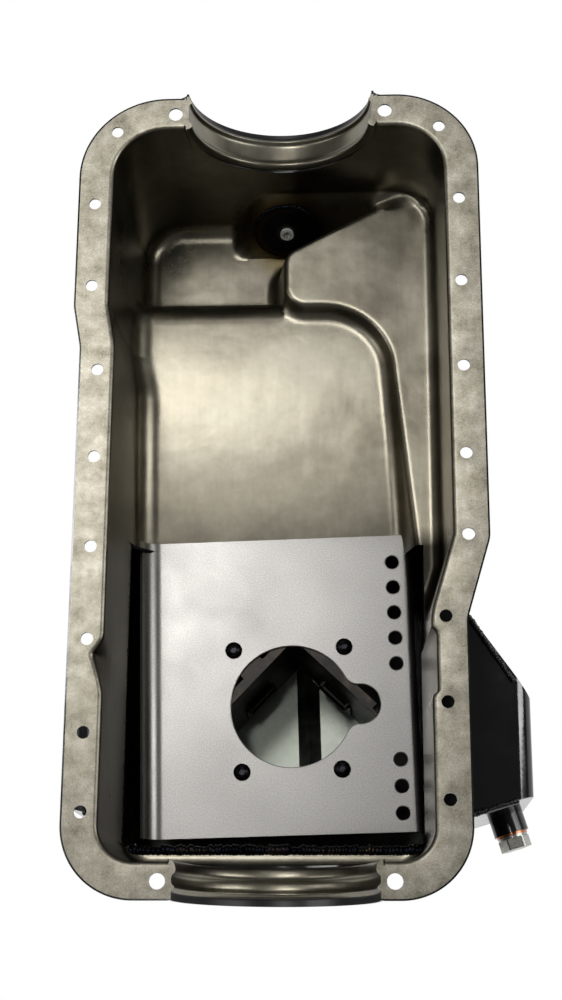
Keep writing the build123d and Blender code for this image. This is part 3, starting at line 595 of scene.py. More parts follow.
# rail: flat sheet between its outer edge and the bend, with its holes and the two saddle gaps, and
# a small crimp in its front edge on each side of the front saddle
outer_edge = outline_ring(0.0)
crimp_x, crimp_half, crimp_mm, front_edge_y = 61.0, 4.5, 2.8, 11
for peak in (-crimp_x, crimp_x):
    crimp = np.clip(1 - np.abs(outer_edge[:, 0] - peak) / crimp_half, 0, 1)
    outer_edge[:, 1] += np.where(outer_edge[:, 1] > front_edge_y, crimp_mm * crimp, 0)
bend_edge = wall[:, 0, :2]
painted_edge = 1.1
bolt_r, end_bolt_r = 3.95, 4.75
side_bolt_pitch = 58.4
side_ys = [-65.0 - side_bolt_pitch * i for i in range(6)]
rail_holes = [(-121.4, y, bolt_r) for y in side_ys[:2]]
rail_holes += [(-115.6, y, bolt_r) for y in side_ys[2:] + [-414.0, -461.0]]
rail_holes += [(117.1, y, bolt_r) for y in side_ys[:4] + [-292.7]]
rail_holes += [(102.0, y, bolt_r) for y in (-344.1, -396.4, -454.1)]
rail_holes += [(-108.2, -12.4, bolt_r), (105.2, -12.4, bolt_r)]
rail_holes += [(side * 69.6, 0.0, end_bolt_r) for side in (-1, 1)]
rail_holes += [(side * 69.1, -501.0, end_bolt_r) for side in (-1, 1)]
turns = np.linspace(0, 2 * math.pi, 29)[:-1]
hole_loops = [np.stack([x + r * np.cos(turns), y + r * np.sin(turns)], axis=1) for x, y, r in rail_holes]
saddle_half = math.sqrt(saddle_r ** 2 - saddle_axis ** 2)


def on_rail(middles):
    """Which places lie on the rail's sheet."""
    kept = (distance_inside(middles, outer_edge) > 0) & (distance_inside(middles, bend_edge) < 0)
    for x, y, r in rail_holes:
        kept &= np.hypot(middles[:, 0] - x, middles[:, 1] - y) > r * 0.98
    at_end = (middles[:, 1] > saddle_front_y) | (middles[:, 1] < saddle_rear_y)
    return kept & ~(at_end & (np.abs(middles[:, 0]) < saddle_half))


saddle_gaps = ((-9.0, 16.0), (-514.0, -491.0))
saddle_sides = [
    ((side * saddle_half, y0), (side * saddle_half, y1)) for side in (-1, 1) for y0, y1 in saddle_gaps
]
rail_loops = [outer_edge, outline_ring(painted_edge), bend_edge] + hole_loops
fill(vertices, faces, rail_loops, on_rail, lambda flat: np.zeros(len(flat)), lines=saddle_sides)


# the seal's half-round saddles: points round them, rows along them, and passes that round the rows
trough_turns, trough_rows, trough_rounding = 96, 58, 10


def seal_trough(profile):
    """Half-round trough turned about the crankshaft's line, from (y, r) points."""
    y, r = np.array(profile).T
    along = np.concatenate([[0], np.cumsum(np.hypot(np.diff(y), np.diff(r)))])
    fine = np.linspace(0, along[-1], trough_rows)
    y, r = np.interp(fine, along, y), np.interp(fine, along, r)
    for _ in range(trough_rounding):
        y[1:-1] = (y[:-2] + 2 * y[1:-1] + y[2:]) / 4
        r[1:-1] = (r[:-2] + 2 * r[1:-1] + r[2:]) / 4
    points, quads = [], []
    for k in range(len(y)):
        lean = math.acos(saddle_axis / r[k])
        points.append((-max(saddle_half, r[k]), y[k], 0.0))
        for a in np.linspace(-lean, lean, trough_turns - 2):
            points.append((r[k] * math.sin(a), y[k], saddle_axis - r[k] * math.cos(a)))
        points.append((max(saddle_half, r[k]), y[k], 0.0))
    for k in range(len(y) - 1):
        for m in range(trough_turns - 1):
            a = k * trough_turns + m
            quads.append((a, a + 1, a + 1 + trough_turns, a + trough_turns))
    return points, quads


# (y, r) of the saddles' steps and grooves
front_trough_profile = [
    (14.9, 61.0), (10.6, 61.0), (9.4, 58.4), (8.2, 58.4), (7.0, 61.0),
    (-5.6, 61.0), (-7.2, 58.4), (-9.6, 58.4), (-11.0, 60.0), (-11.4, 63.0),
]
rear_trough_profile = [
    (-511.8, 61.0), (-506.0, 61.0), (-504.9, 58.4), (-504.0, 58.4), (-502.6, 61.0),
    (-497.2, 61.0), (-495.8, 58.4), (-493.6, 58.4), (-489.6, 59.5), (-488.2, 63.0),
]
for profile, flipped in ((front_trough_profile, True), (rear_trough_profile, False)):
    points, quads = seal_trough(profile)
    first = len(vertices)
    vertices.extend(points)
    for quad in quads:
        quad = tuple(first + i for i in quad)
        faces.append(tuple(reversed(quad)) if flipped else quad)


def reshape(piece, change):
    """Opens a piece's mesh for a change, and closes it again."""
    edit = bmesh.new()
    edit.from_mesh(piece.data)
    change(edit)
    edit.to_mesh(piece.data)
    edit.free()


def merge(edit):
    """Joins vertices that lie within 0.02 mm, and drops loose ones."""
    bmesh.ops.remove_doubles(edit, verts=edit.verts, dist=0.02 * mm)
    bmesh.ops.delete(edit, geom=[v for v in edit.verts if not v.link_faces], context="VERTS")


shell = mesh_object("pressed_shell", vertices, faces)
reshape(shell, merge)

# the front wall runs softly into the top of the slope, inside a box given in metres
soft_x, soft_y, soft_z = (-0.036, 0.098), -0.027, (-0.105, -0.062)
soft_passes = 30


def soften_slope(edit):
    """Smooths the sheet where the slope starts."""
    (x0, x1), y0, (z0, z1) = soft_x, soft_y, soft_z
    near = [v for v in edit.verts if v.co.y > y0 and x0 < v.co.x < x1 and z0 < v.co.z < z1]
    for _ in range(soft_passes):
        bmesh.ops.smooth_vert(
            edit, verts=near, factor=0.5, use_axis_x=True, use_axis_y=True, use_axis_z=True
        )


reshape(shell, soften_slope)
middles = np.array([polygon.center[:] for polygon in shell.data.polygons]) / mm
at_edge = (middles[:, 2] > -0.01) & (distance_inside(middles[:, :2], outer_edge) < painted_edge)
shell.data.polygons.foreach_set("material_index", at_edge.astype(np.int32))
wall_thickness = shell.modifiers.new("sheet", "SOLIDIFY")
wall_thickness.thickness = sheet_mm * mm
wall_thickness.offset = -1
wall_thickness.material_offset = 1
wall_thickness.material_offset_rim = 1


def cells(size_mm):
    """Whole noise cells to the metre, for a pattern of a real size."""
    return round(1000 / size_mm)


def settle(piece, sharp_degrees=35.0):
    """Turns a piece's modifiers into real mesh, with sharp edges above an angle."""
    graph = bpy.context.evaluated_depsgraph_get()
    solid = bpy.data.meshes.new_from_object(piece.evaluated_get(graph), depsgraph=graph)
    piece.modifiers.clear()
    piece.data = solid
    solid.shade_smooth()
    solid.set_sharp_from_angle(angle=math.radians(sharp_degrees))


# the front plug's place in metres, and the span that most of a noise's values lie in
plug_place = (-0.0002, -0.0294, -0.118)
noise_span = {"From Min": 0.3, "From Max": 0.7}

# Cold-rolled sheet that hot oil has tanned: a soft metal sheen with brown and grey clouds of 62 mm,
# faint streaks that the press drew along the pan, and slow waves of 36 mm. On the rail the gasket
# was scraped off, which leaves a speckle of 1.1 mm, drawn coarser than the real scratches so that it
# shows, and a mottle of 13 mm that is darker towards the rear. Round the front drain the weld's heat
# has left blue and straw rings, and both seal saddles end in a strip of black paint. In the deep
# corner at the right end of the shelf, beside the tray, the sheet is darkened to a tenth as painted
# shade.
oiled_steel, tree, place = new_material("oiled_rolled_steel")
x_at, y_at, z_at = add(tree, "ShaderNodeSeparateXYZ", links={"Vector": place}).outputs
cloud = add(
    tree, "ShaderNodeTexNoise", {"Scale": cells(62.5), "Detail": 8.0, "Roughness": 0.62}, {"Vector": place}
)
speckle = add(
    tree, "ShaderNodeTexNoise", {"Scale": cells(1.111), "Detail": 5.0, "Roughness": 0.75}, {"Vector": place}
)
mottle = add(
    tree, "ShaderNodeTexNoise", {"Scale": cells(13.3), "Detail": 8.0, "Roughness": 0.72}, {"Vector": place}
)
inside_tone = add(
    tree,
    "ShaderNodeValToRGB",
    links={"Fac": cloud},
    stops=[(0.3, "#5f5b50"), (0.5, "#7a7568"), (0.7, "#949082")],
)
rail_noise = add(tree, "ShaderNodeMix", {0: 0.55}, {2: speckle, 3: mottle})
rail_tone = add(
    tree,
    "ShaderNodeValToRGB",
    links={"Fac": rail_noise},
    stops=[(0.34, "#5b564c"), (0.46, "#8f8a7b"), (0.54, "#a5a092"), (0.66, "#c9c4ba")],
)
rear_darker = add(
    tree, "ShaderNodeMapRange", {"From Min": -0.48, "From Max": -0.12, "To Min": 0.62}, {"Value": y_at}
)
worn_rail = add(tree, "ShaderNodeVectorMath", links={0: rail_tone, "Scale": rear_darker}, operation="SCALE")
rail_face = add(tree, "ShaderNodeMapRange", {"From Min": -0.0012, "From Max": -0.0004}, {"Value": z_at})
tone = add(tree, "ShaderNodeMix", links={0: rail_face, 6: inside_tone, 7: worn_rail}, data_type="RGBA")

plug_distance = add(tree, "ShaderNodeVectorMath", {1: plug_place}, {0: place}, operation="DISTANCE")
uneven = add(tree, "ShaderNodeMath", {1: 0.016}, {0: cloud}, operation="MULTIPLY")
tint_distance = add(
    tree, "ShaderNodeMath", links={0: plug_distance.outputs["Value"], 1: uneven}, operation="SUBTRACT"
)
tint_place = add(tree, "ShaderNodeMapRange", {"From Min": 0.008, "From Max": 0.03}, {"Value": tint_distance})
tint = add(
    tree,
    "ShaderNodeValToRGB",
    links={"Fac": tint_place},
    stops=[
        (0.0, "#3a3c42"),
        (0.16, "#6a6156"),
        (0.3, "#c0a068"),
        (0.42, "#b5a58a"),
        (0.58, "#dccfae"),
        (1.0, "#ffffff"),
    ],
)
tinted = add(
    tree,
    "ShaderNodeMix",
    {0: 1.0},
    {6: tone.outputs["Result"], 7: tint},
    data_type="RGBA",
    blend_type="MULTIPLY",
)

drawn = add(
    tree, "ShaderNodeMapping", {"Scale": (cells(3.333), cells(55.6), cells(3.333))}, {"Vector": place}
)
streak = add(tree, "ShaderNodeTexNoise", {"Scale": 1.0, "Detail": 3.0}, {"Vector": drawn})
wiped = add(tree, "ShaderNodeMapRange", {**noise_span, "To Min": 0.95, "To Max": 1.04}, {"Value": streak})
# the deep corner at the right end of the shelf, beside the tray, darkened to a tenth as painted shade
past_sill = add(tree, "ShaderNodeMapRange", {"From Min": -0.262, "From Max": -0.276}, {"Value": y_at})
on_right = add(tree, "ShaderNodeMapRange", {"From Min": 0.083, "From Max": 0.089}, {"Value": x_at})
low_down = add(tree, "ShaderNodeMapRange", {"From Min": -0.03, "From Max": -0.07}, {"Value": z_at})
shade_corner = add(tree, "ShaderNodeMath", links={0: past_sill, 1: on_right}, operation="MULTIPLY")
corner_shade = add(tree, "ShaderNodeMath", links={0: shade_corner, 1: low_down}, operation="MULTIPLY")
unshaded = add(tree, "ShaderNodeMapRange", {"To Min": 1.0, "To Max": 0.1}, {"Value": corner_shade})
# the press's streaks, times the painted shade in the right corner
streak_and_shade = add(tree, "ShaderNodeMath", links={0: wiped, 1: unshaded}, operation="MULTIPLY")
streaked_and_shaded_tone = add(
    tree, "ShaderNodeVectorMath", links={0: tinted.outputs["Result"], "Scale": streak_and_shade}, operation="SCALE"
)

inside_rough = add(
    tree, "ShaderNodeMapRange", {**noise_span, "To Min": 0.26, "To Max": 0.38}, {"Value": cloud}
)
rail_rough = add(
    tree, "ShaderNodeMapRange", {**noise_span, "To Min": 0.34, "To Max": 0.52}, {"Value": speckle}
)
rough = add(tree, "ShaderNodeMix", links={0: rail_face, 2: inside_rough, 3: rail_rough})
wave = add(tree, "ShaderNodeTexNoise", {"Scale": cells(35.7), "Detail": 3.0}, {"Vector": place})
wavy = add(tree, "ShaderNodeBump", {"Strength": 0.12, "Distance": 4 * mm}, {"Height": wave})
grain = add(
    tree, "ShaderNodeBump", {"Strength": 0.12, "Distance": 0.4 * mm}, {"Height": speckle, "Normal": wavy}
)
bare_steel = add(
    tree,
    "ShaderNodeBsdfPrincipled",
    {"Metallic": 1.0},
    {"Base Color": streaked_and_shaded_tone, "Roughness": rough, "Normal": grain},
)

front_strip = add(tree, "ShaderNodeMath", {1: 0.0104}, {0: y_at}, operation="GREATER_THAN")
rear_strip = add(tree, "ShaderNodeMath", {1: -0.5072}, {0: y_at}, operation="LESS_THAN")
on_strip = add(tree, "ShaderNodeMath", links={0: front_strip, 1: rear_strip}, operation="MAXIMUM")
under_rail = add(tree, "ShaderNodeMath", {1: -0.0017}, {0: z_at}, operation="LESS_THAN")
strip = add(tree, "ShaderNodeMath", links={0: on_strip, 1: under_rail}, operation="MULTIPLY")
strip_tone = add(
    tree, "ShaderNodeValToRGB", links={"Fac": cloud}, stops=[(0.35, "#0a0a0b"), (0.7, "#17171a")]
)
strip_paint = add(
    tree, "ShaderNodeBsdfPrincipled", links={"Base Color": strip_tone, "Roughness": inside_rough}
)
surface = add(tree, "ShaderNodeMixShader", links={"Fac": strip, 1: bare_steel, 2: strip_paint})
add(tree, "ShaderNodeOutputMaterial", links={"Surface": surface})
shell.data.materials.append(oiled_steel)

# Sprayed enamel: deep gloss black with an orange peel of 4 mm, dulled by dust in clouds of 45 mm.
black_paint, tree, place = new_material("gloss_black_paint")
peel = add(tree, "ShaderNodeTexNoise", {"Scale": cells(4.17), "Detail": 2.0}, {"Vector": place})
orange = add(tree, "ShaderNodeBump", {"Strength": 0.05, "Distance": 0.6 * mm}, {"Height": peel})
dust = add(
    tree, "ShaderNodeTexNoise", {"Scale": cells(45.5), "Detail": 7.0, "Roughness": 0.65}, {"Vector": place}
)
dusty = add(
    tree,
    "ShaderNodeMapRange",
    {"From Min": 0.35, "From Max": 0.7, "To Min": 0.08, "To Max": 0.22},
    {"Value": dust},
)
coat = add(tree, "ShaderNodeValToRGB", links={"Fac": dust}, stops=[(0.35, "#08080a"), (0.7, "#111113")])
paint = add(
    tree, "ShaderNodeBsdfPrincipled", links={"Base Color": coat, "Roughness": dusty, "Normal": orange}
)
add(tree, "ShaderNodeOutputMaterial", links={"Surface": paint})
shell.data.materials.append(black_paint)
settle(shell)

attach(shell, "pan")
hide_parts("pan_shell")


# Sump plates
# Front, rear and side plates of 2 mm mill steel on one floor plate, bare inside and black outside.
# The front plate's top edge is cut to the pressed floor above it.

plate_mm, top_pitch = 2.0, 1.5
plate_left_x, plate_right_x, plate_foot_z = -106.4, 94.6, -208.0
right_top_z = -89.5
under_shell = 0.7
left_column = int(np.argmax(left_cut)) - 1
profile_x, profile_z = wall[left_column, :, 0], wall[left_column, :, 2]
top_line = [(x, z) for x, z in zip(profile_x, profile_z) if z <= -cut_depth]
floor_x = np.arange(profile_x[-1] + top_pitch, plate_x, top_pitch)
floor_drop = pan_depth(np.stack([floor_x, np.full(len(floor_x), cut_front_y)], axis=1))
top_line += [(x, -drop) for x, drop in zip(floor_x, floor_drop)]
outline = [(plate_left_x, plate_foot_z), (plate_left_x, -cut_depth)]
outline += [(x, z - under_shell) for x, z in top_line]
outline += [(plate_right_x, right_top_z), (plate_right_x, plate_foot_z)]
vertices = [(x, y, z) for y in (cut_front_y, cut_front_y + plate_mm) for x, z in outline]
count = len(outline)
faces = [tuple(range(count)), tuple(reversed(range(count, 2 * count)))]
faces += [(i, i + count, (i + 1) % count + count, (i + 1) % count) for i in range(count)]
front_plate = mesh_object("sump_front_plate", vertices, faces, smooth=False)
reshape(front_plate, lambda edit: bmesh.ops.recalc_face_normals(edit, faces=edit.faces))

# in metres: the middle of the floor inside the baffle box, and the middle and half size of the sump
pickup_place = (0.0069, -0.3788, -0.208)
sump_middle, sump_half = (-0.0059, -0.3745, -0.104), (0.0995, 0.1005, 0.105)

# Hot-rolled plate with its mill scale wiped to grey, in stains of 26 mm. Farther than 52 to 62 mm
# from the middle of the box's floor it is darkened to near black as painted shade under the tray,
# which leaves a painted pool of light on the floor below the tray's opening. Beyond a box that just
# holds the sump's inside all is painted black.
mill_plate, tree, place = new_material("mill_steel_plate_black_outside")
stain = add(
    tree, "ShaderNodeTexNoise", {"Scale": cells(26.3), "Detail": 9.0, "Roughness": 0.7}, {"Vector": place}
)
scale = add(
    tree,
    "ShaderNodeValToRGB",
    links={"Fac": stain},
    stops=[(0.3, "#6f736a"), (0.5, "#8b8f86"), (0.68, "#a6aaa1")],
)
rolled = add(tree, "ShaderNodeMapRange", {**noise_span, "To Min": 0.3, "To Max": 0.48}, {"Value": stain})
# painted shade and light: near black beyond 62 mm from the floor's middle, a pool of light within 52 mm
from_pickup = add(tree, "ShaderNodeVectorMath", {1: pickup_place}, {0: place}, operation="DISTANCE")
light_pool_and_shade = add(
    tree,
    "ShaderNodeMapRange",
    {"From Min": 0.052, "From Max": 0.062, "To Min": 1.0, "To Max": 0.09},
    {"Value": from_pickup.outputs["Value"]},
)
plate_tone = add(tree, "ShaderNodeVectorMath", links={0: scale, "Scale": light_pool_and_shade}, operation="SCALE")
bare = add(
    tree, "ShaderNodeBsdfPrincipled", {"Metallic": 1.0}, {"Base Color": plate_tone, "Roughness": rolled}
)
coat_rough = add(tree, "ShaderNodeMapRange", {**noise_span, "To Min": 0.1, "To Max": 0.24}, {"Value": stain})
coat_tone = add(
    tree, "ShaderNodeValToRGB", links={"Fac": stain}, stops=[(0.3, "#070708"), (0.7, "#101012")]
)
coated = add(tree, "ShaderNodeBsdfPrincipled", links={"Base Color": coat_tone, "Roughness": coat_rough})
from_middle = add(tree, "ShaderNodeVectorMath", {1: sump_middle}, {0: place}, operation="SUBTRACT")
reach = add(tree, "ShaderNodeVectorMath", links={0: from_middle}, operation="ABSOLUTE")
beyond = add(tree, "ShaderNodeVectorMath", {1: sump_half}, {0: reach}, operation="SUBTRACT")
x_over, y_over, z_over = add(tree, "ShaderNodeSeparateXYZ", links={"Vector": beyond}).outputs
sideways = add(tree, "ShaderNodeMath", links={0: x_over, 1: y_over}, operation="MAXIMUM")
furthest = add(tree, "ShaderNodeMath", links={0: sideways, 1: z_over}, operation="MAXIMUM")
is_outside = add(tree, "ShaderNodeMath", {1: 0.0}, {0: furthest}, operation="GREATER_THAN")
surface = add(tree, "ShaderNodeMixShader", links={"Fac": is_outside, 1: bare, 2: coated})
add(tree, "ShaderNodeOutputMaterial", links={"Surface": surface})
front_plate.data.materials.append(mill_plate)
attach(front_plate, "pan")
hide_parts("sump_front_wall")


def give_finish(names, material):
    """Puts a material on CAD nodes that keep their own mesh."""
    for name in names:
        for slot in nodes[name].material_slots:
            slot.material = material


give_finish(
    ["sump_left_wall", "sump_right_wall", "sump_rear_wall", "sump_floor", "sump_floor_rib", "drain_bung"],
    mill_plate,
)


# Kick-outs
# Bent covers with a front and a rear plate each, welded to the side plates and painted gloss black.

kickout_parts = ("cover", "front_plate", "rear_plate")
give_finish([f"{side}_kickout_{part}" for side in ("left", "right") for part in kickout_parts], black_paint)


# Welds
# Hand-laid TIG beads of mild steel, each a row of overlapping ripples: bare with blue-black scale
# round the cut edge of the pressed shell and round the front drain patch, painted on the kick-outs.

ripples = bpy.data.node_groups.new("weld_ripples", "GeometryNodeTree")
sockets = {}
for label, kind in (
    ("Geometry", "NodeSocketGeometry"),
    ("Pitch", "NodeSocketFloat"),
    ("Ripple", "NodeSocketVector"),
    ("Wander", "NodeSocketFloat"),
    ("Seed", "NodeSocketInt"),
    ("Material", "NodeSocketMaterial"),
):
    sockets[label] = ripples.interface.new_socket(name=label, in_out="INPUT", socket_type=kind)
ripples.interface.new_socket(name="Geometry", in_out="OUTPUT", socket_type="NodeSocketGeometry")
given = add(ripples, "NodeGroupInput").outputs
stations = add(
    ripples,
    "GeometryNodeResampleCurve",
    links={"Curve": given["Geometry"], "Length": given["Pitch"]},
    mode="LENGTH",
)
low_wander = add(ripples, "ShaderNodeMath", {1: -1.0}, {0: given["Wander"]}, operation="MULTIPLY")
drift = add(
    ripples,
    "FunctionNodeRandomValue",
    links={0: low_wander, 1: given["Wander"], "Seed": given["Seed"]},
    data_type="FLOAT_VECTOR",
)
moved = add(ripples, "GeometryNodeSetPosition", links={"Geometry": stations, "Offset": drift})
swell = add(
    ripples,
    "FunctionNodeRandomValue",
    {0: (0.85, 0.8, 0.8), 1: (1.2, 1.15, 1.15)},
    {"Seed": given["Seed"]},
    data_type="FLOAT_VECTOR",
)
size = add(ripples, "ShaderNodeVectorMath", links={0: swell, 1: given["Ripple"]}, operation="MULTIPLY")
heading = add(ripples, "GeometryNodeInputTangent")
turned = add(ripples, "FunctionNodeAlignRotationToVector", links={"Vector": heading}, axis="X")
ripple = add(ripples, "GeometryNodeMeshUVSphere", {"Segments": 12, "Rings": 8, "Radius": 1.0})
row = add(
    ripples,
    "GeometryNodeInstanceOnPoints",
    links={"Points": moved, "Instance": ripple, "Rotation": turned, "Scale": size},
)
fused = add(ripples, "GeometryNodeRealizeInstances", links={"Geometry": row})
rounded = add(ripples, "GeometryNodeSetShadeSmooth", links={"Geometry": fused})
scaled = add(ripples, "GeometryNodeSetMaterial", links={"Geometry": rounded, "Material": given["Material"]})
add(ripples, "NodeGroupOutput", links={"Geometry": scaled})
wander_share = 0.12


def weld_bead(name, runs, ripple_mm, pitch_mm, seed, material):
    """Mesh of weld ripples, with half sizes along, across and up, along runs of points."""
    line = bpy.data.curves.new(name + "_line", "CURVE")
    line.dimensions = "3D"
    for run in runs:
        spline = line.splines.new("POLY")
        spline.points.add(len(run) - 1)
        for point, place_mm in zip(spline.points, run):
            point.co = (*(c * mm for c in place_mm), 1.0)
    carrier = bpy.data.objects.new(name + "_line", line)
    scene.collection.objects.link(carrier)
    maker = carrier.modifiers.new("ripples", "NODES")
    maker.node_group = ripples
    maker[sockets["Pitch"].identifier] = pitch_mm * mm
    maker[sockets["Ripple"].identifier] = tuple(c * mm for c in ripple_mm)
    maker[sockets["Wander"].identifier] = ripple_mm[1] * wander_share * mm
    maker[sockets["Seed"].identifier] = seed
    maker[sockets["Material"].identifier] = material
    graph = bpy.context.evaluated_depsgraph_get()
    mesh = bpy.data.meshes.new_from_object(carrier.evaluated_get(graph), depsgraph=graph)
    bpy.data.objects.remove(carrier)
    piece = bpy.data.objects.new(name, mesh)
    scene.collection.objects.link(piece)
    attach(piece, "pan")
    return piece


# Bead as the torch leaves it: scale in blue-black with brown patches of 18 mm, over a fine crust of
# 0.67 mm that breaks its shine.
weld_scale, tree, place = new_material("blue_black_weld_scale")
heat = add(
    tree, "ShaderNodeTexNoise", {"Scale": cells(18.2), "Detail": 5.0, "Roughness": 0.6}, {"Vector": place}
)
colours = add(
    tree,
    "ShaderNodeValToRGB",
    links={"Fac": heat},
    stops=[(0.32, "#0b0c10"), (0.5, "#181a21"), (0.62, "#26221f"), (0.76, "#4f4538")],
)
crust = add(tree, "ShaderNodeTexNoise", {"Scale": cells(0.6667), "Detail": 3.0}, {"Vector": place})
gloss = add(tree, "ShaderNodeMapRange", {**noise_span, "To Min": 0.2, "To Max": 0.45}, {"Value": crust})
pits = add(tree, "ShaderNodeBump", {"Strength": 0.25, "Distance": 0.3 * mm}, {"Height": crust})
bead = add(
    tree,
    "ShaderNodeBsdfPrincipled",
    {"Metallic": 1.0},
    {"Base Color": colours, "Roughness": gloss, "Normal": pits},
)
add(tree, "ShaderNodeOutputMaterial", links={"Surface": bead})

left_seam_x, right_seam_x, rear_seam_y, rear_seam_z = -104.9, 93.1, -475.0, -88.75
sump_bead = weld_bead(
    "sump_weld_ripples",
    [
        [(left_seam_x, -276.0, -cut_depth), (left_seam_x, -474.5, -cut_depth)],
        [(right_seam_x, -353.2, -cut_depth), (right_seam_x, -474.5, -cut_depth)],
        [(-101.0, rear_seam_y, rear_seam_z), (89.0, rear_seam_y, rear_seam_z)],
    ],
    ripple_mm=(2.3, 3.4, 3.4),
    pitch_mm=2.1,
    seed=3,
    material=weld_scale,
)
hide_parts("sump_weld")
kickout_z = -106.4
kickout_ripple, kickout_pitch = (1.9, 2.2, 2.2), 1.8
right_bead = weld_bead(
    "right_kickout_weld_ripples",
    [
        [(99.0, -284.2, kickout_z), (150.0, -362.9, kickout_z)],
        [(99.0, -457.3, kickout_z), (150.0, -441.7, kickout_z)],
    ],
    ripple_mm=kickout_ripple,
    pitch_mm=kickout_pitch,
    seed=5,
    material=black_paint,
)
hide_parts("right_kickout_weld")
left_bead = weld_bead(
    "left_kickout_weld_ripples",
    [
        [(-110.8, -385.0, kickout_z), (-130.0, -385.0, kickout_z)],
        [(-110.8, -454.7, kickout_z), (-130.0, -449.0, kickout_z)],
    ],
    ripple_mm=kickout_ripple,
    pitch_mm=kickout_pitch,
    seed=8,
    material=black_paint,
)
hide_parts("left_kickout_weld")


# Windage tray
# One sheet of 1.6 mm blasted mild steel with its left edge curled up and its right edge folded
# down, cut with a pickup opening, eight drain holes down its right side and four screw holes.

tray_mm = 1.6
tray_top = -110.0
tray_half = 91.0
tray_left_r, tray_right_r = 13.0, 5.5
flat_left, flat_right = -tray_half + tray_left_r, tray_half - tray_right_r
tray_rear_y, tray_front_y, lip_front_y = -99.0, 100.0, 87.0
tray_x, tray_y, tray_turn = -3.5, -364.5, math.radians(1.7)
# the punched edges are broken by a narrow chamfer
edge_break, edge_drop, on_edge = 0.6, 0.2, 0.02
bend_points = 24


def opening_outline(grow=0.0, steps=24):
    """Round opening with a side lobe and filled corners, as points round its edge."""
    x, y, big, lobe_x, small, blend = 7.6, -14.6, 40.4 + grow, 53.2, 13.2 + grow, 9.0 - grow
    apart = lobe_x - x
    near = math.acos(((big + blend) ** 2 + apart ** 2 - (small + blend) ** 2) / (2 * apart * (big + blend)))
    rise = (big + blend) * math.sin(near)
    middle_x = x + (big + blend) * math.cos(near)
    lean = math.atan2(rise, middle_x - lobe_x)
    round_part = np.linspace(near, 2 * math.pi - near, 4 * steps)
    out = [(x + big * math.cos(a), y + big * math.sin(a)) for a in round_part]
    for a in np.linspace(math.pi - near, math.pi - lean, steps)[1:]:
        out.append((middle_x + blend * math.cos(a), y - rise + blend * math.sin(a)))
    for a in np.linspace(-lean, lean, 2 * steps)[1:]:
        out.append((lobe_x + small * math.cos(a), y + small * math.sin(a)))
    for a in np.linspace(lean + math.pi, math.pi + near, steps)[1:-1]:
        out.append((middle_x + blend * math.cos(a), y + rise + blend * math.sin(a)))
    return np.array(out)


drain_x, drain_pitch, drain_r = 78.0, 17.4, 4.5
screw_x, screw_r = 6.6, 3.3
round_holes = [(drain_x, 81.3 - drain_pitch * i, drain_r) for i in range(5)]
round_holes += [(drain_x, -52.1 - drain_pitch * i, drain_r) for i in range(3)]
round_holes += [(screw_x + side * 36.9, 24.2, screw_r) for side in (-1, 1)]
round_holes += [(screw_x + side * 32.8, -57.2, screw_r) for side in (-1, 1)]
turns = np.linspace(0, 2 * math.pi, 33)[:-1]
hole_loops = [np.stack([x + r * np.cos(turns), y + r * np.sin(turns)], axis=1) for x, y, r in round_holes]
rim_loops = [
    np.stack([x + (r + edge_break) * np.cos(turns), y + (r + edge_break) * np.sin(turns)], axis=1)
    for x, y, r in round_holes
]
hole_loops.append(opening_outline())
rim_loops.append(opening_outline(edge_break))


def tray_depth(flat):
    """Depth of the sheet's top face, which drops at the broken edge of each hole."""
    nearest = np.min([np.abs(distance_inside(flat, loop)) for loop in hole_loops], axis=0)
    return -tray_top + np.where(nearest < on_edge, edge_drop, 0.0)


sheet_edge = np.array([
    (flat_left, tray_rear_y),
    (flat_right, tray_rear_y),
    (flat_right, lip_front_y),
    (flat_right, tray_front_y),
    (flat_left, tray_front_y),
])
vertices, faces = [], []
fill(
    vertices,
    faces,
    [sheet_edge] + hole_loops + rim_loops,
    lambda middles: np.all([distance_inside(middles, loop) < 0 for loop in hole_loops], axis=0),
    tray_depth,
)


def rolled_edge(middle_x, radius, side, up, end_angle, lip, y0, y1):
    """Quads of a bend up or down from the flat sheet, with a straight lip below it."""
    line = []
    for a in np.linspace(0, end_angle, bend_points):
        line.append((middle_x + side * radius * math.sin(a), tray_top + up * radius * (1 - math.cos(a))))
    if lip > 0:
        line.append((line[-1][0], line[-1][1] - lip))
    first = len(vertices)
    vertices.extend((x, y, z) for x, z in line for y in (y0, y1))
    for i in range(len(line) - 1):
        a = first + 2 * i
        quad = (a, a + 2, a + 3, a + 1)
        faces.append(quad if side > 0 else tuple(reversed(quad)))


left_curl, right_fold, corner_fold, right_lip = 1.3, math.pi / 2, 0.7, 3.5
rolled_edge(flat_left, tray_left_r, -1, 1, left_curl, 0, tray_rear_y, tray_front_y)
rolled_edge(flat_right, tray_right_r, 1, -1, right_fold, right_lip, tray_rear_y, lip_front_y)
rolled_edge(flat_right, tray_right_r, 1, -1, corner_fold, 0, lip_front_y, tray_front_y)
placed = [
    (
        tray_x + x * math.cos(tray_turn) - y * math.sin(tray_turn),
        tray_y + x * math.sin(tray_turn) + y * math.cos(tray_turn),
        z,
    )
    for x, y, z in vertices
]
tray = mesh_object("windage_tray_sheet", placed, faces)
reshape(tray, merge)
thickness = tray.modifiers.new("sheet", "SOLIDIFY")
thickness.thickness = tray_mm * mm
thickness.offset = -1

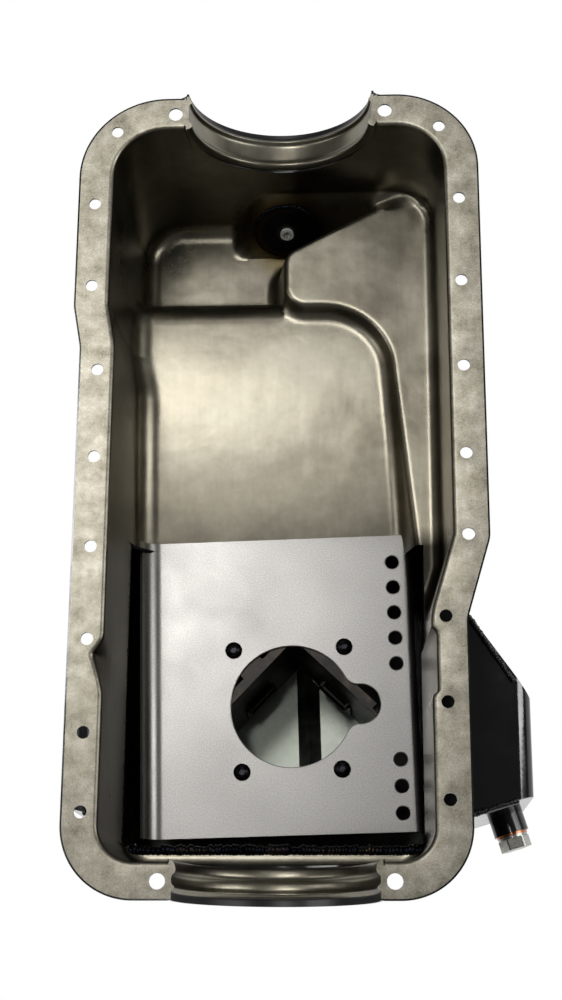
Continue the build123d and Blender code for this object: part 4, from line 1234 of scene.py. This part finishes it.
# Bead-blasted sheet: an even, silky grey. Its pits are drawn 0.9 mm wide, coarser than the real
# grit of 0.1 mm, so that they show, and hands have left faint marks of 56 mm.
blasted_steel, tree, place = new_material("blasted_mild_steel")
blast = add(
    tree, "ShaderNodeTexNoise", {"Scale": cells(0.909), "Detail": 4.0, "Roughness": 0.7}, {"Vector": place}
)
handled = add(
    tree, "ShaderNodeTexNoise", {"Scale": cells(55.6), "Detail": 7.0, "Roughness": 0.6}, {"Vector": place}
)
grain_tone = add(
    tree, "ShaderNodeValToRGB", links={"Fac": blast}, stops=[(0.3, "#6f6e6b"), (0.7, "#8d8b88")]
)
blotch = add(tree, "ShaderNodeMapRange", {**noise_span, "To Min": 0.93, "To Max": 1.04}, {"Value": handled})
tone = add(tree, "ShaderNodeVectorMath", links={0: grain_tone, "Scale": blotch}, operation="SCALE")
satin = add(tree, "ShaderNodeMapRange", {**noise_span, "To Min": 0.29, "To Max": 0.38}, {"Value": handled})
texture = add(tree, "ShaderNodeBump", {"Strength": 0.08, "Distance": 0.3 * mm}, {"Height": blast})
steel = add(
    tree,
    "ShaderNodeBsdfPrincipled",
    {"Metallic": 1.0},
    {"Base Color": tone, "Roughness": satin, "Normal": texture},
)
add(tree, "ShaderNodeOutputMaterial", links={"Surface": steel})
tray.data.materials.append(blasted_steel)
settle(tray, sharp_degrees=12.0)
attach(tray, "pan")
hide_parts("windage_tray")


# Baffle box
# Four walls of folded mild steel round the oil pickup, with a trap door in each, hung on a plain
# steel pin.

# Mild steel under a film of old oil, wet in places: near-black brown in clouds of 14 mm, darker
# than bare oily steel as painted shade, since the box and its pins stand under the tray.
shaded_oily_steel, tree, place = new_material("shade_darkened_oily_steel")
film = add(
    tree, "ShaderNodeTexNoise", {"Scale": cells(14.3), "Detail": 7.0, "Roughness": 0.65}, {"Vector": place}
)
tone = add(
    tree,
    "ShaderNodeValToRGB",
    links={"Fac": film},
    stops=[(0.32, "#1d1c1c"), (0.5, "#2c2a28"), (0.68, "#453f38")],
)
wet = add(tree, "ShaderNodeMapRange", {**noise_span, "To Min": 0.3, "To Max": 0.5}, {"Value": film})
steel = add(tree, "ShaderNodeBsdfPrincipled", {"Metallic": 1.0}, {"Base Color": tone, "Roughness": wet})
add(tree, "ShaderNodeOutputMaterial", links={"Surface": steel})
box_corners = ("front_left", "front_right", "rear_left", "rear_right")
give_finish(
    [f"{part}_{corner}" for part in ("baffle_wall", "trap_door", "door_pin") for corner in box_corners],
    shaded_oily_steel,
)


# Screws, nuts and rear plug
# Black-oxide button-head screws and zinc-plated clinch nuts hold the tray, and the rear drain's
# plug has the same zinc plate.

# Steel blackened in a hot salt bath and oiled: dark satin with a mottle of 2.4 mm.
black_oxide, tree, place = new_material("black_oxide_steel")
oiled = add(tree, "ShaderNodeTexNoise", {"Scale": cells(2.38), "Detail": 4.0}, {"Vector": place})
tone = add(tree, "ShaderNodeValToRGB", links={"Fac": oiled}, stops=[(0.3, "#17171a"), (0.7, "#2b2b2e")])
polish = add(tree, "ShaderNodeMapRange", {**noise_span, "To Min": 0.22, "To Max": 0.38}, {"Value": oiled})
oxide = add(tree, "ShaderNodeBsdfPrincipled", {"Metallic": 1.0}, {"Base Color": tone, "Roughness": polish})
add(tree, "ShaderNodeOutputMaterial", links={"Surface": oxide})
give_finish(["tray_screws"], black_oxide)

# Electroplated zinc: pale, with a crystal grain of 1.1 mm, drawn coarser than the real one so that
# it shows, and dull where it is worn, in patches of 6 mm.
zinc_plate, tree, place = new_material("zinc_plated_steel")
spangle = add(tree, "ShaderNodeTexVoronoi", {"Scale": cells(1.111)}, {"Vector": place})
tone = add(tree, "ShaderNodeValToRGB", links={"Fac": spangle}, stops=[(0.0, "#c4c3bd"), (0.6, "#9c9b94")])
worn = add(tree, "ShaderNodeTexNoise", {"Scale": cells(6.25), "Detail": 5.0}, {"Vector": place})
dull = add(tree, "ShaderNodeMapRange", {**noise_span, "To Min": 0.22, "To Max": 0.42}, {"Value": worn})
zinc = add(tree, "ShaderNodeBsdfPrincipled", {"Metallic": 1.0}, {"Base Color": tone, "Roughness": dull})
add(tree, "ShaderNodeOutputMaterial", links={"Surface": zinc})
give_finish(["tray_nuts", "drain_plug"], zinc_plate)


# Front and rear drains
# A round patch welded on the slope holds the front plug, whose end shows inside; both plugs seal
# on copper washers. The weld's heat has left the patch blue-black, brown and gold.

# Soft copper crushed under the plug: warm and pinkish, with brown tarnish in spots of 3.3 mm.
copper_sheet, tree, place = new_material("crushed_copper")
tarnish = add(tree, "ShaderNodeTexNoise", {"Scale": cells(3.333), "Detail": 5.0}, {"Vector": place})
tone = add(tree, "ShaderNodeValToRGB", links={"Fac": tarnish}, stops=[(0.3, "#8d5138"), (0.7, "#c98a66")])
dull = add(tree, "ShaderNodeMapRange", {**noise_span, "To Min": 0.22, "To Max": 0.4}, {"Value": tarnish})
copper = add(tree, "ShaderNodeBsdfPrincipled", {"Metallic": 1.0}, {"Base Color": tone, "Roughness": dull})
add(tree, "ShaderNodeOutputMaterial", links={"Surface": copper})
give_finish(["drain_copper_washer", "front_drain_washer"], copper_sheet)

plug_end = (-0.0002, -0.0335, -0.1161)

# Zinc made pale and matt, with scuffs of 1.4 mm, so that the plug's end shows light in the shade
# of the slope as a painted highlight, round a dark disc painted in its middle as the shade of its socket.
pale_zinc, tree, place = new_material("pale_zinc_plug_painted_highlight")
scuff = add(
    tree, "ShaderNodeTexNoise", {"Scale": cells(1.428), "Detail": 5.0, "Roughness": 0.7}, {"Vector": place}
)
# pale matt zinc: painted highlight on the plug's end
tone = add(tree, "ShaderNodeValToRGB", links={"Fac": scuff}, stops=[(0.35, "#a9a9a6"), (0.6, "#dededa")])
from_end = add(tree, "ShaderNodeVectorMath", {1: plug_end}, {0: place}, operation="DISTANCE")
# dark disc of 2.4 to 3 mm radius on the plug's end: painted shade of a socket
socket_shade = add(
    tree,
    "ShaderNodeMapRange",
    {"From Min": 0.0024, "From Max": 0.003, "To Min": 0.06, "To Max": 1.0},
    {"Value": from_end.outputs["Value"]},
)
tone_with_socket_shade = add(tree, "ShaderNodeVectorMath", links={0: tone, "Scale": socket_shade}, operation="SCALE")
dull = add(tree, "ShaderNodeMapRange", {**noise_span, "To Min": 0.35, "To Max": 0.55}, {"Value": scuff})
zinc = add(tree, "ShaderNodeBsdfPrincipled", {"Metallic": 0.3}, {"Base Color": tone_with_socket_shade, "Roughness": dull})
add(tree, "ShaderNodeOutputMaterial", links={"Surface": zinc})
give_finish(["front_drain_plug"], pale_zinc)

# Steel plate coloured by its weld: rings of grey, blue-black and brown from the plug outwards,
# broken up by smoke in wisps of 7.7 mm.
blued, tree, place = new_material("heat_blued_steel_patch")
from_plug = add(tree, "ShaderNodeVectorMath", {1: plug_place}, {0: place}, operation="DISTANCE")
smoke = add(
    tree, "ShaderNodeTexNoise", {"Scale": cells(7.69), "Detail": 6.0, "Roughness": 0.65}, {"Vector": place}
)
shift = add(tree, "ShaderNodeMath", {1: 0.006}, {0: smoke}, operation="MULTIPLY")
apart = add(tree, "ShaderNodeMath", links={0: from_plug.outputs["Value"], 1: shift}, operation="SUBTRACT")
ring = add(tree, "ShaderNodeMapRange", {"From Min": 0.0, "From Max": 0.022}, {"Value": apart})
tone = add(
    tree,
    "ShaderNodeValToRGB",
    links={"Fac": ring},
    stops=[(0.1, "#4a4642"), (0.3, "#23242a"), (0.62, "#191b22"), (0.8, "#33261c"), (0.95, "#1b1a20")],
)
gloss = add(tree, "ShaderNodeMapRange", {**noise_span, "To Min": 0.28, "To Max": 0.5}, {"Value": smoke})
patch = add(tree, "ShaderNodeBsdfPrincipled", {"Metallic": 1.0}, {"Base Color": tone, "Roughness": gloss})
add(tree, "ShaderNodeOutputMaterial", links={"Surface": patch})
give_finish(["front_drain_patch"], blued)

seam_r, patch_depth = 22.4, 118.0
patch_y = -11.19 - (patch_depth - slope_top_depth) * slope_run
patch_middle = Vector((-0.2, patch_y, -patch_depth))
across, up_slope = Vector((1, 0, 0)), Vector((0, slope_run, 1.0)).normalized()
seam = [
    tuple(patch_middle + seam_r * (math.cos(a) * across + math.sin(a) * up_slope))
    for a in np.linspace(0, 2 * math.pi, 91)
]
patch_bead = weld_bead(
    "front_drain_weld_ripples",
    [seam],
    ripple_mm=(1.6, 2.0, 2.0),
    pitch_mm=1.7,
    seed=11,
    material=weld_scale,
)
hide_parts("front_drain_weld")
